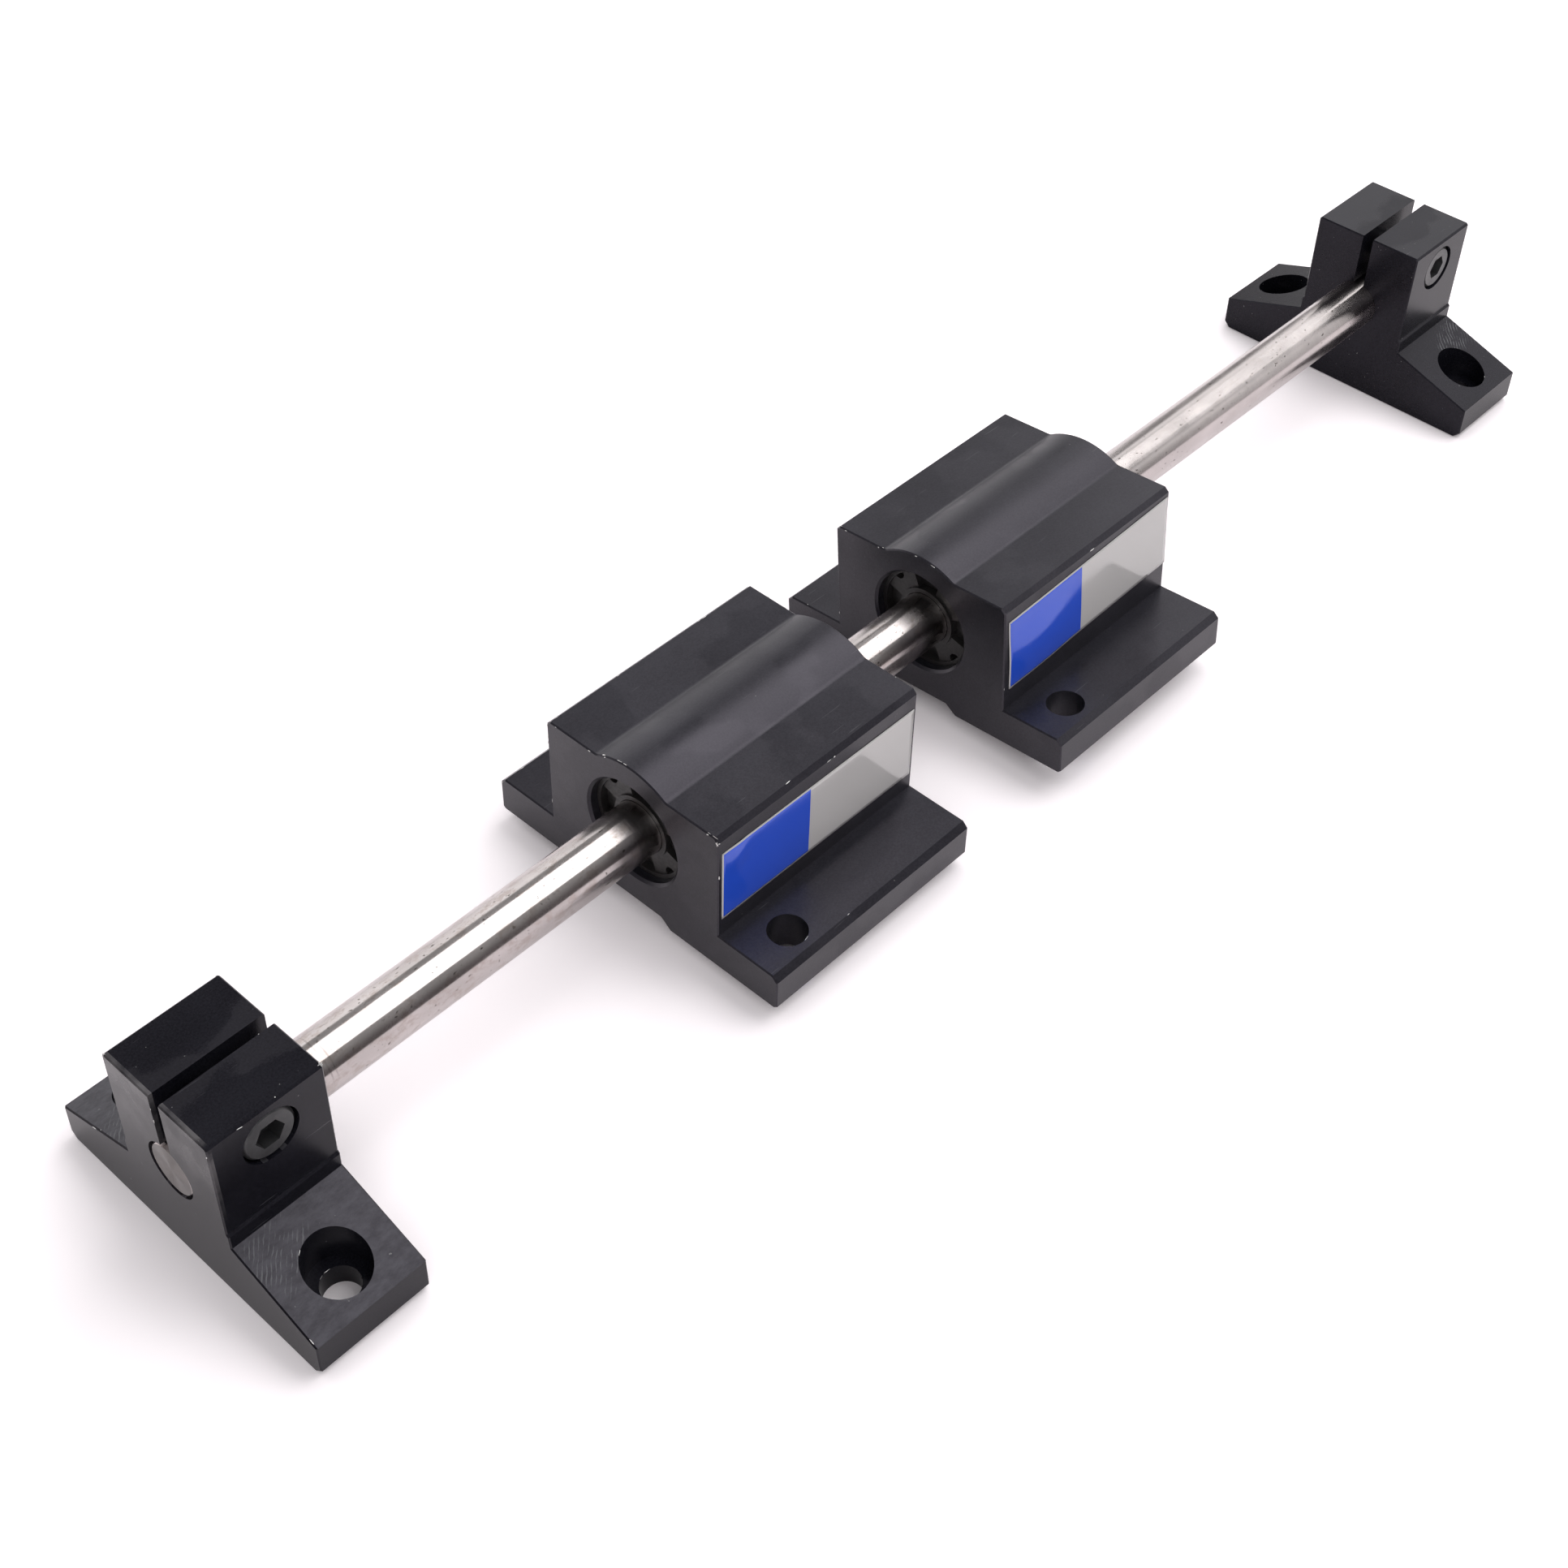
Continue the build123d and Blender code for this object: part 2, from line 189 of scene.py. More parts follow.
def node_material(name):
    """An empty material with its principled shader, ready for nodes."""
    material = bpy.data.materials.new(name)
    material.use_nodes = True
    tree = material.node_tree
    tree.nodes.clear()
    shader = tree.nodes.new("ShaderNodeBsdfPrincipled")
    add_node(tree, "ShaderNodeOutputMaterial", {"Surface": shader.outputs["BSDF"]})
    return material, tree, shader


print("node helpers are ready")

# %% [markdown]
# The table. The guide lies on a white sheet that fades into a white room, so the floor is one
# large square. Only white paint would leave a grey horizon. So the sheet also glows a little
# where the camera or a reflection looks at it, and not where it lights other things, which
# keeps the soft shadows. Close beside the guide the glow is shaded, as real paper is.

# %% Lay the table
FLOOR_HALF = 3.0
FLOOR_COLOUR = (0.94, 0.89, 0.915, 1)
FLOOR_ROUGHNESS = 0.6
FLOOR_SHINE = 0.2
FLOOR_GLOW = 0.32
SHADE_REACH = 10 * MM
SHADE_SAMPLES = 2
MIRRORED_SHARE = 0.5


def make_floor():
    """One large square sheet on the mounting plane."""
    mesh = bpy.data.meshes.new("floor")
    turns = ((-1, -1), (1, -1), (1, 1), (-1, 1))
    corners = [(FLOOR_HALF * x, FLOOR_HALF * y, 0) for x, y in turns]
    mesh.from_pydata(corners, [], [(0, 1, 2, 3)])
    floor = bpy.data.objects.new("floor", mesh)
    bpy.context.scene.collection.objects.link(floor)
    return floor


def floor_material():
    """A matt white sheet that looks a little brighter than it is."""
    material, tree, shader = node_material("table_white")
    path = tree.nodes.new("ShaderNodeLightPath").outputs
    mirrored = product(tree, path["Is Glossy Ray"], MIRRORED_SHARE)
    seen = math_node(tree, "MAXIMUM", path["Is Camera Ray"], mirrored)
    seen = math_node(tree, "MAXIMUM", seen, path["Is Transmission Ray"])
    shade = add_node(tree, "ShaderNodeAmbientOcclusion", {"Distance": SHADE_REACH}, samples=SHADE_SAMPLES)
    seen = product(tree, seen, shade.outputs["AO"])
    plug(tree, shader, {
        "Base Color": FLOOR_COLOUR,
        "Roughness": FLOOR_ROUGHNESS,
        "Specular IOR Level": FLOOR_SHINE,
        "Emission Color": FLOOR_COLOUR,
        "Emission Strength": product(tree, seen, FLOOR_GLOW),
    })
    return material


floor = make_floor()
floor.data.materials.append(floor_material())
print("floor side m:", 2 * FLOOR_HALF)

# %% [markdown]
# The room. Black gloss and a mirror-like shaft show whatever is round them, so the room matters
# as much as the lamps. It grows lighter from the horizon to the ceiling, which gives the shaft
# its dark band, a little brown as in the photograph. The camera itself sees plain white.

# %% Paint the room
HORIZON = (0.13, 0.114, 0.117)
LOW_WALL = (0.178, 0.166, 0.168)
HIGH_WALL = 0.40
ZENITH = 0.52
LOW_WALL_RISE = 0.25
HIGH_WALL_RISE = 0.6
WHITE = (1, 1, 1, 1)


def make_world():
    """A plain room that grows lighter from the horizon up to its white ceiling."""
    world = bpy.data.worlds.new("white_room")
    world.use_nodes = True
    tree = world.node_tree
    direction = tree.nodes.new("ShaderNodeTexCoord").outputs["Generated"]
    parts = add_node(tree, "ShaderNodeSeparateXYZ", {"Vector": direction})
    stops = [(0.0, HORIZON), (LOW_WALL_RISE, LOW_WALL), (HIGH_WALL_RISE, HIGH_WALL), (1.0, ZENITH)]
    room = tree.nodes["Background"]
    plug(tree, room, {"Color": ramp(tree, parts.outputs["Z"], stops)})
    white = add_node(tree, "ShaderNodeBackground", {"Color": WHITE})
    path = tree.nodes.new("ShaderNodeLightPath").outputs
    choice = add_node(tree, "ShaderNodeMixShader", {
        "Fac": path["Is Camera Ray"],
        1: room.outputs["Background"],
        2: white.outputs["Background"],
    })
    plug(tree, tree.nodes["World Output"], {"Surface": choice.outputs["Shader"]})
    bpy.context.scene.world = world
    return world


print("room:", make_world().name)

# %% [markdown]
# The lamps. The photograph has long soft bands on the shaft and no hard shadow, as in a tent of
# white cloth. Small lamps would make hot spots there, so these are large dim panels: one above,
# which is the wide white band, one at the camera's side, and three that stand for white walls.

# %% Hang the lamps
# Each lamp has its place and target in metres, its width and height, and its radiance.
LAMPS = {
    "ceiling_lamp": ((0.415, -0.145, 0.80), (0.415, -0.145, 0), (0.63, 0.95), 2.3),
    "fill_lamp": ((-0.8, -0.8, 0.8), (0, 0, 0), (0.8, 0.8), 1.5),
    "far_wall_lamp": ((1.3, 0.25, 0.62), (0, 0.25, 0.62), (1.5, 1.2), 1.05),
    "far_corner_lamp": ((1.3, -0.9, 0.5), (0, -0.9, 0.5), (0.8, 0.96), 0.7),
    "side_wall_lamp": ((0.3, 1.3, 0.62), (0.3, 0, 0.62), (2.0, 1.2), 0.85),
}
WATTS_PER_RADIANCE = 4.0


def make_lamp(name, place, target, size, radiance):
    """A soft panel at a place, turned to a target, as bright as radiance when looked at."""
    data = bpy.data.lights.new(name, "AREA")
    data.shape = "RECTANGLE"
    data.size, data.size_y = size
    data.energy = WATTS_PER_RADIANCE * radiance * size[0] * size[1]
    lamp = bpy.data.objects.new(name, data)
    bpy.context.scene.collection.objects.link(lamp)
    lamp.matrix_world = aimed(place, target)
    return lamp


for name, (place, target, size, radiance) in LAMPS.items():
    make_lamp(name, place, target, size, radiance)

# %% [markdown]
# Surface detail. An image of scratches would need a map of every piece and would blur close up.
# Noise in the object's own metres needs neither, and it has the same grain on every piece. The
# scale of a noise is its number of waves per metre, so 4200 waves are a grain of a quarter mm.

# %% Lay noise on object coordinates


def coordinates(tree, scale=(1, 1, 1), turn=(0, 0, 0), shift=(0, 0, 0)):
    """Object coordinates in metres, scaled to the wanted number of waves per metre."""
    source = tree.nodes.new("ShaderNodeTexCoord").outputs["Object"]
    inputs = {"Location": shift, "Scale": scale, "Rotation": turn, "Vector": source}
    return add_node(tree, "ShaderNodeMapping", inputs).outputs["Vector"]


def noise(tree, waves, detail=3.0, rough=0.5, turn=(0, 0, 0)):
    """A noise from 0 to 1, with one number of waves per metre or one each along X, Y and Z."""
    scale = waves if isinstance(waves, tuple) else (waves, waves, waves)
    inputs = {"Scale": 1.0, "Detail": detail, "Roughness": rough, "Vector": coordinates(tree, scale, turn)}
    return add_node(tree, "ShaderNodeTexNoise", inputs).outputs["Fac"]


def blend(tree, a, b, share):
    """The weighted mean of two values, with the given share of the first."""
    return math_node(tree, "ADD", product(tree, a, share), product(tree, b, 1 - share))


def split(tree, vector):
    """The X, Y and Z of a vector."""
    parts = add_node(tree, "ShaderNodeSeparateXYZ", {"Vector": vector}).outputs
    return parts["X"], parts["Y"], parts["Z"]


def facing(tree, axis):
    """How squarely the surface faces along an axis of the object, from 0 to 1."""
    normal = tree.nodes.new("ShaderNodeTexCoord").outputs["Normal"]
    return math_node(tree, "ABSOLUTE", split(tree, normal)["XYZ".index(axis)])


def mix_colour(tree, share, a, b):
    """Colour a where the share is 0 and colour b where it is 1."""
    a, b = ((*value, 1) if isinstance(value, tuple) else value for value in (a, b))
    inputs = {"A": a, "B": b, "Factor": share}
    return add_node(tree, "ShaderNodeMix", inputs, data_type="RGBA").outputs["Result"]


def bump(tree, shader, height, depth):
    """Feed a height from 0 to 1, which stands for a depth in metres, to the shader's normal."""
    inputs = {"Strength": 1.0, "Distance": depth, "Height": height}
    plug(tree, shader, {"Normal": add_node(tree, "ShaderNodeBump", inputs).outputs["Normal"]})


print("noise helpers are ready")

# %% [markdown]
# Dust and hair lines. Every black face has a few light specks of lint and some short scratches
# from handling. Both are a noise cut off near its top: only the rare highest peaks are left. For
# a scratch the noise is long one way and thin across it, and turned to an odd angle.

# %% Specks and scratches
SPECK_COLOUR = (0.16, 0.16, 0.16)
SPECK_WAVES = 1900
SPECK_EDGE = 0.02
SCRATCH_COLOUR = (0.04, 0.04, 0.045)
SCRATCH_WAVES = (160, 3600, 3600)
SCRATCH_EDGE = (0.76, 0.79)


def specks(tree, limit):
    """Sparse light specks of dust and lint; a higher limit leaves fewer."""
    return mask(tree, noise(tree, SPECK_WAVES, detail=2), (limit, limit + SPECK_EDGE))


def scratches(tree, turn):
    """Short hair lines, long along the turned X axis and thin across it."""
    return mask(tree, noise(tree, SCRATCH_WAVES, detail=1, turn=turn), SCRATCH_EDGE)


print("one wave of the specks' noise mm:", round(1 / SPECK_WAVES / MM, 2))

# %% [markdown]
# Black anodised aluminium. The oxide layer is a dark, slightly blue glaze over metal: it has the
# gloss of a plastic, with a faint grain that follows the way the bar was drawn or milled. So it
# is no metal in the shader. The grain is a noise stretched along the shaft, an even fine noise
# gives the velvety bead, and that and a large soft noise move the tone between two near blacks.

# %% Anodised black without its gloss
CLOUD_WAVES = (90, 140, 140)
STREAK_WAVES = (60, 4200, 4200)
GRAIN_WAVES = 4200
CLOUD_SHARE = 0.4
STREAK_SHARE = 0.4
TONE_EDGE = (0.38, 0.62)
ANODISED_SHEEN = (0.94, 0.87, 1.0, 1)
PATCH_EDGE = (0.47, 0.53)
PATCH_SHARE = 0.65
GLOSS_EDGE = (0.15, 0.85)


def even_grain(tree):
    """The fine velvety bead of the oxide."""
    return noise(tree, GRAIN_WAVES, detail=3, rough=0.7)


def anodised(name, tones, grain_depth):
    """Black anodised aluminium, drawn along X, without its gloss."""
    material, tree, shader = node_material(name)
    grain = even_grain(tree)
    cloud = noise(tree, CLOUD_WAVES, detail=4)
    streak = noise(tree, STREAK_WAVES, detail=3, rough=0.6)
    tone = span(tree, blend(tree, cloud, grain, CLOUD_SHARE), TONE_EDGE, tones)
    bump(tree, shader, blend(tree, streak, grain, STREAK_SHARE), grain_depth)
    plug(tree, shader, {"Specular Tint": ANODISED_SHEEN})
    return material, tree, shader, tone


def gloss_patches(tree, patch, roughness):
    """A roughness with clear borders where the patch value passes its middle, and a fine grain."""
    patch = mask(tree, patch, PATCH_EDGE)
    return span(tree, blend(tree, patch, even_grain(tree), PATCH_SHARE), GLOSS_EDGE, roughness)


print("one wave of the grain mm:", round(1 / GRAIN_WAVES / MM, 2))

# %% [markdown]
# The blocks. Their black is even and velvety, with a few hair lines. One roughness all over would
# look like plastic, so the gloss changes a little in large patches, as if hands had rubbed them.

# %% Finish of the blocks
BLOCK_TONES = ((0.006, 0.006, 0.009), (0.018, 0.018, 0.023))
BLOCK_GRAIN_DEPTH = 6 * MICRON
BLOCK_PATCH_WAVES = 120
BLOCK_ROUGHNESS = (0.28, 0.36)
BLOCK_SCRATCH_TURN = (0.3, 0.5, 0.4)
BLOCK_SPECK_LIMIT = 0.79
BLOCK_IOR = 1.45


def block_finish():
    """The blocks' even, velvety black with a few hair lines."""
    material, tree, shader, tone = anodised("block_anodised", BLOCK_TONES, BLOCK_GRAIN_DEPTH)
    tone = mix_colour(tree, scratches(tree, BLOCK_SCRATCH_TURN), tone, SCRATCH_COLOUR)
    tone = mix_colour(tree, specks(tree, BLOCK_SPECK_LIMIT), tone, SPECK_COLOUR)
    gloss = gloss_patches(tree, noise(tree, BLOCK_PATCH_WAVES), BLOCK_ROUGHNESS)
    plug(tree, shader, {"Base Color": tone, "Roughness": gloss, "IOR": BLOCK_IOR})
    return material


block_black = block_finish()
print("finish:", block_black.name)

# %% [markdown]
# The milled wings. A cutter chattered on the sloping wings of the supports and left short ragged
# parallel strokes at the root of each wing. A wave across a turned direction gives the strokes,
# noise makes them ragged, and the distance from a spot, the same on every wing, bounds them.

# %% Strokes of the milling cutter
WING_FACING = (0.90, 0.97)
STROKE_COLOUR = (0.10, 0.102, 0.108)
STROKE_PITCH = 0.42 * MM
STROKE_TURN = math.radians(-48)
STROKE_WANDER = 2 * STROKE_PITCH
STROKE_WANDER_WAVES = 350
STROKE_RAGGED_WAVES = 900
STROKE_WAVE_SHARE = 0.3
STROKE_EDGE = (0.56, 0.66)
STROKE_SPOT = (100.6 * MM, 10.6 * MM)
STROKE_REACH = 4.5 * MM
STROKE_PATCH_WAVES = 420
STROKE_SPOT_SHARE = 0.35
STROKE_PATCH_EDGE = (0.40, 0.52)


def sloping_wing(tree):
    """1 on the supports' sloping wings and 0 elsewhere."""
    upward = facing(tree, "Z")
    not_steep = math_node(tree, "GREATER_THAN", upward, WING_FACING[0])
    not_level = math_node(tree, "LESS_THAN", upward, WING_FACING[1])
    return product(tree, not_steep, not_level)


def marked_spot(tree):
    """1 where the cutter chattered on each wing, 0 at the reach of the strokes, less beyond."""
    squares = []
    for value, place in zip(split(tree, coordinates(tree)), STROKE_SPOT):
        away = math_node(tree, "SUBTRACT", math_node(tree, "ABSOLUTE", value), place)
        squares.append(product(tree, away, away))
    distance = math_node(tree, "SQRT", math_node(tree, "ADD", *squares))
    return math_node(tree, "SUBTRACT", 1.0, math_node(tree, "DIVIDE", distance, STROKE_REACH))


def cutter_strokes(tree):
    """Short ragged parallel strokes that a milling cutter left on the sloping wings."""
    across = split(tree, coordinates(tree, turn=(0, 0, STROKE_TURN)))[1]
    wander = product(tree, noise(tree, STROKE_WANDER_WAVES), STROKE_WANDER)
    across = math_node(tree, "ADD", across, wander)
    wave = math_node(tree, "SINE", product(tree, across, 2 * math.pi / STROKE_PITCH))
    lines = blend(tree, wave, noise(tree, STROKE_RAGGED_WAVES), STROKE_WAVE_SHARE)
    lines = mask(tree, lines, STROKE_EDGE)
    patch = blend(tree, marked_spot(tree), noise(tree, STROKE_PATCH_WAVES, detail=2), STROKE_SPOT_SHARE)
    patch = mask(tree, patch, STROKE_PATCH_EDGE)
    return product(tree, lines, patch, sloping_wing(tree))


print("stroke pitch mm:", STROKE_PITCH / MM)

# %% [markdown]
# The supports. They are blacker and glossier than the blocks. Their tops have patches like dried
# oil, most of all beside the slit. The near wings get a painted light, a lighter bluish tone, and
# the outer face of the near one a painted reflection, grey and blotchy at its top. Each of these is
# a mask from where a point is and which way it faces, so that one material serves both supports.

# %% Places of the gloss and the painted reflection on the supports
SLIT_REACH = 6 * MM
# A painted reflection: grey on the near support's outer face, blotchy and most at its top.
REFLECTION_PAINT_GREY = (0.10, 0.095, 0.099)
REFLECTION_PAINT_END_X = -102.5 * MM
REFLECTION_PAINT_FROM = 12 * MM
REFLECTION_PAINT_RISE = 10 * MM
REFLECTION_PAINT_RISE_EDGE = (0.0, 0.9)
REFLECTION_PAINT_WAVES = 300
REFLECTION_PAINT_EDGE = (0.34, 0.62)


def beside_slit(tree):
    """1 at the supports' slit, in the plane Y = 0, fading to 0 at its reach to each side."""
    away = math_node(tree, "ABSOLUTE", split(tree, coordinates(tree))[1])
    away = math_node(tree, "DIVIDE", away, SLIT_REACH)
    return math_node(tree, "MAXIMUM", math_node(tree, "SUBTRACT", 1.0, away), 0.0)


def front_painted_reflection(tree):
    """How much painted reflection the near support's outer face gets: blotchy, and most at its top."""
    x, _, z = split(tree, coordinates(tree))
    front = math_node(tree, "LESS_THAN", x, REFLECTION_PAINT_END_X)
    height = math_node(tree, "DIVIDE", math_node(tree, "SUBTRACT", z, REFLECTION_PAINT_FROM), REFLECTION_PAINT_RISE)
    blotch = mask(tree, noise(tree, REFLECTION_PAINT_WAVES, detail=4), REFLECTION_PAINT_EDGE)
    return product(tree, blotch, mask(tree, height, REFLECTION_PAINT_RISE_EDGE), front)


print("painted reflection from mm:", REFLECTION_PAINT_FROM / MM, "to mm:", (REFLECTION_PAINT_FROM + REFLECTION_PAINT_RISE) / MM)

# %% Finish of the supports
SUPPORT_TONES = ((0.003, 0.003, 0.005), (0.011, 0.011, 0.015))
SUPPORT_GRAIN_DEPTH = 5 * MICRON
SUPPORT_PATCH_WAVES = 140
SUPPORT_PATCH_SHARE = 0.62
SUPPORT_ROUGHNESS = (0.10, 0.42)
SIDE_ROUGHNESS = (0.26, 0.26, 0.26)
TOP_FACING = 0.98
# The near wings' painted light: a lighter bluish tone, streaked by a stretched noise.
WING_LIGHT_STREAK_WAVES = (550, 1000, 1000)
WING_LIGHT_STREAK_EDGE = (0.36, 0.64)
WING_PAINTED_LIGHT_TONES = ((0.034, 0.033, 0.038), (0.062, 0.061, 0.070))
SUPPORT_SCRATCH_TURN = (0.9, 0.2, 1.1)
SUPPORT_SPECK_LIMIT = 0.76
SUPPORT_IOR = 1.29


def wings_painted_light(tree, tone):
    """The tone, with a painted light on the near support's wings: a lighter, bluish, streaky tone."""
    near_half = math_node(tree, "LESS_THAN", split(tree, coordinates(tree))[0], 0.0)
    where = product(tree, sloping_wing(tree), near_half)
    light_streaks = noise(tree, WING_LIGHT_STREAK_WAVES, detail=5, rough=0.7)
    return mix_colour(tree, where, tone, span(tree, light_streaks, WING_LIGHT_STREAK_EDGE, WING_PAINTED_LIGHT_TONES))


def support_gloss(tree):
    """Oily patches on the tops, most beside the slit, and an even gloss on the sides."""
    patch = blend(tree, noise(tree, SUPPORT_PATCH_WAVES), beside_slit(tree), SUPPORT_PATCH_SHARE)
    top = math_node(tree, "GREATER_THAN", facing(tree, "Z"), TOP_FACING)
    return mix_colour(tree, top, SIDE_ROUGHNESS, gloss_patches(tree, patch, SUPPORT_ROUGHNESS))


def support_finish():
    """The supports' black: glossy patches and specks, cutter strokes, a painted light on the near wings and a
    painted reflection on the near outer face.
    """
    material, tree, shader, tone = anodised("support_anodised", SUPPORT_TONES, SUPPORT_GRAIN_DEPTH)
    # A painted light: the near support's sloping wings are made lighter and bluish.
    tone = wings_painted_light(tree, tone)
    # A painted reflection: grey, blotchy and lighter towards the top of the near outer face.
    tone = mix_colour(tree, front_painted_reflection(tree), tone, REFLECTION_PAINT_GREY)
    tone = mix_colour(tree, scratches(tree, SUPPORT_SCRATCH_TURN), tone, SCRATCH_COLOUR)
    tone = mix_colour(tree, cutter_strokes(tree), tone, STROKE_COLOUR)
    tone = mix_colour(tree, specks(tree, SUPPORT_SPECK_LIMIT), tone, SPECK_COLOUR)
    plug(tree, shader, {"Base Color": tone, "Roughness": support_gloss(tree), "IOR": SUPPORT_IOR})
    return material


support_black = support_finish()
print("finish:", support_black.name)

# %% [markdown]
# Ground steel. The shaft and the bearing steel are ground round and polished. Grinding leaves
# very fine rings about the axis, so the noise is dense along it and slow around it. A cloud in
# the tone and a few pits are the steel's age.

# %% Steel with fine rings and pits
RING_WAVES_AROUND = 60
STEEL_CLOUD_WAVES = (160, 300, 300)
STEEL_CLOUD_EDGE = (0.35, 0.65)
STEEL_CLOUD_DARK = 0.84
STEEL_CLOUD_SHARE = 0.5
PIT_WAVES = (1500, 2600, 2600)
PIT_EDGE = (0.67, 0.73)
PIT_COLOUR = (0.16, 0.14, 0.13)


def ground_steel(name, tint, roughness, ring_waves, depth):
    """Bright steel with fine rings about X, small pits and a faint cloud."""
    material, tree, shader = node_material(name)
    rings = noise(tree, (ring_waves, RING_WAVES_AROUND, RING_WAVES_AROUND), detail=2, rough=0.7)
    cloud = noise(tree, STEEL_CLOUD_WAVES, detail=4)
    tones = (tuple(STEEL_CLOUD_DARK * c for c in tint), tint)
    tone = span(tree, cloud, STEEL_CLOUD_EDGE, tones)
    between_pits = span(tree, noise(tree, PIT_WAVES, detail=2), PIT_EDGE, (1.0, 0.0))
    tone = mix_colour(tree, between_pits, PIT_COLOUR, tone)
    gloss = span(tree, blend(tree, cloud, rings, STEEL_CLOUD_SHARE), STEEL_CLOUD_EDGE, roughness)
    bump(tree, shader, product(tree, rings, between_pits), depth)
    plug(tree, shader, {"Metallic": 1.0})
    return material, tree, shader, tone, gloss


BEARING_TINT = (0.62, 0.62, 0.63)
BEARING_ROUGHNESS = (0.18, 0.3)
BEARING_RING_WAVES = 6000
BEARING_DEPTH = 1 * MICRON


def bearing_finish():
    """The balls and plates: plain bright bearing steel."""
    values = (BEARING_TINT, BEARING_ROUGHNESS, BEARING_RING_WAVES, BEARING_DEPTH)
    material, tree, shader, tone, gloss = ground_steel("bearing_steel", *values)
    plug(tree, shader, {"Base Color": tone, "Roughness": gloss})
    return material


bearing_steel = bearing_finish()
print("finish:", bearing_steel.name)

# %% [markdown]
# Marks on the shaft. Its near half has ragged blotches of old oil and fingerprints, and beside
# the near support two thin broken rings show where it was once clamped. The blotches are a rough
# noise, which fades towards the far end. The rings are thin ranges of X that wander a little.

# %% Stains and clamp marks
STAIN_TINT = (0.40, 0.345, 0.325)
STAIN_WAVES = (420, 700, 700)
STAIN_EDGE = (0.50, 0.60)
STAIN_SHARES = (0.75, 0.15)
STAIN_FADE = 30 * MM
CLAMP_MARKS = ((86.7 * MM, 0.8), (86.1 * MM, 0.4))
CLAMP_MARK_HALF = 0.09 * MM
CLAMP_MARK_WANDER = 0.25 * MM
CLAMP_WANDER_WAVES = 500
CLAMP_BROKEN_WAVES = 330
CLAMP_BROKEN_EDGE = (0.46, 0.62)


def stains(tree):
    """Ragged blotches of old oil and fingerprints, strong on the near half of the shaft."""
    blotch = mask(tree, noise(tree, STAIN_WAVES, detail=6, rough=0.72), STAIN_EDGE)
    past_middle = math_node(tree, "DIVIDE", split(tree, coordinates(tree))[0], STAIN_FADE)
    share = span(tree, past_middle, (0.0, 1.0), STAIN_SHARES)
    return product(tree, blotch, share)


def clamp_mark(tree, place):
    """How marked the shaft is on a thin broken ring where it was once clamped, from 0 to 1."""
    x = split(tree, coordinates(tree, shift=(place, 0, 0)))[0]
    wander = product(tree, noise(tree, CLAMP_WANDER_WAVES), CLAMP_MARK_WANDER)
    x = math_node(tree, "ABSOLUTE", math_node(tree, "ADD", x, wander))
    broken = mask(tree, noise(tree, CLAMP_BROKEN_WAVES, detail=4), CLAMP_BROKEN_EDGE)
    return product(tree, math_node(tree, "LESS_THAN", x, CLAMP_MARK_HALF), broken)


print("clamp marks at mm:", [round(-place / MM, 1) for place, _ in CLAMP_MARKS])

# %% [markdown]
# The shaft. The grinding rings scatter light along the shaft and hardly across it, so that the
# table and the lamps show as long bands with soft ends. A bump alone gives sparkle at this size,
# so the shader's anisotropy does it, with a tangent that runs round the axis. The end face is
# duller and darker.

# %% Finish of the shaft
SHAFT_TINT = (0.535, 0.492, 0.484)
SHAFT_ROUGHNESS = (0.15, 0.22)
SHAFT_RING_WAVES = 5000
SHAFT_DEPTH = 0.4 * MICRON
SHAFT_ANISOTROPY = 0.85
QUARTER_TURN = 0.25
END_FACING = 0.9
END_COLOUR = (0.22, 0.205, 0.20)
END_ROUGHNESS = 0.25


def shaft_finish():
    """The shaft's steel. The fine rings scatter light along the shaft and hardly across it."""
    values = (SHAFT_TINT, SHAFT_ROUGHNESS, SHAFT_RING_WAVES, SHAFT_DEPTH)
    material, tree, shader, tone, gloss = ground_steel("shaft_steel", *values)
    tone = mix_colour(tree, stains(tree), tone, STAIN_TINT)
    end_face = math_node(tree, "GREATER_THAN", facing(tree, "X"), END_FACING)
    tone = mix_colour(tree, end_face, tone, END_COLOUR)
    for place, share in CLAMP_MARKS:
        ring = product(tree, clamp_mark(tree, place), share)
        tone = mix_colour(tree, ring, tone, PIT_COLOUR)
    around = add_node(tree, "ShaderNodeTangent", direction_type="RADIAL", axis="X")
    plug(tree, shader, {
        "Base Color": tone,
        "Roughness": math_node(tree, "ADD", gloss, product(tree, end_face, END_ROUGHNESS)),
        "Tangent": around.outputs["Tangent"],
        "Anisotropic": SHAFT_ANISOTROPY,
        "Anisotropic Rotation": QUARTER_TURN,
    })
    return material


shaft_steel = shaft_finish()
print("finish:", shaft_steel.name)

# %% [markdown]
# The small dark parts: black-oxide screws, oil-black rings, the moulded black cage and the wiper
# seals. They are mostly in the shade of their bores, so one function with a gloss, a share of
# metal and a fine surface serves all four, and only its values differ.

# %% Small dark parts
# Each part has its two tones, its two roughnesses, its share of metal, and the waves per metre
# and the depth of its surface.
DARK_PARTS = {
    "screw_steel": (((0.05, 0.05, 0.053), (0.085, 0.085, 0.088)), (0.3, 0.42), 0.6, 5000, 2 * MICRON),
    "ring_steel": (((0.10, 0.10, 0.10), (0.17, 0.17, 0.17)), (0.3, 0.45), 0.9, 5000, 2 * MICRON),
    "cage_plastic": (((0.006, 0.006, 0.007), (0.012, 0.012, 0.013)), (0.4, 0.5), 0.0, 3000, 3 * MICRON),
    "seal_rubber": (((0.012, 0.011, 0.011), (0.022, 0.02, 0.02)), (0.35, 0.5), 0.0, 3000, 3 * MICRON),
}
DARK_CLOUD_WAVES = 400
DARK_EDGE = (0.35, 0.65)


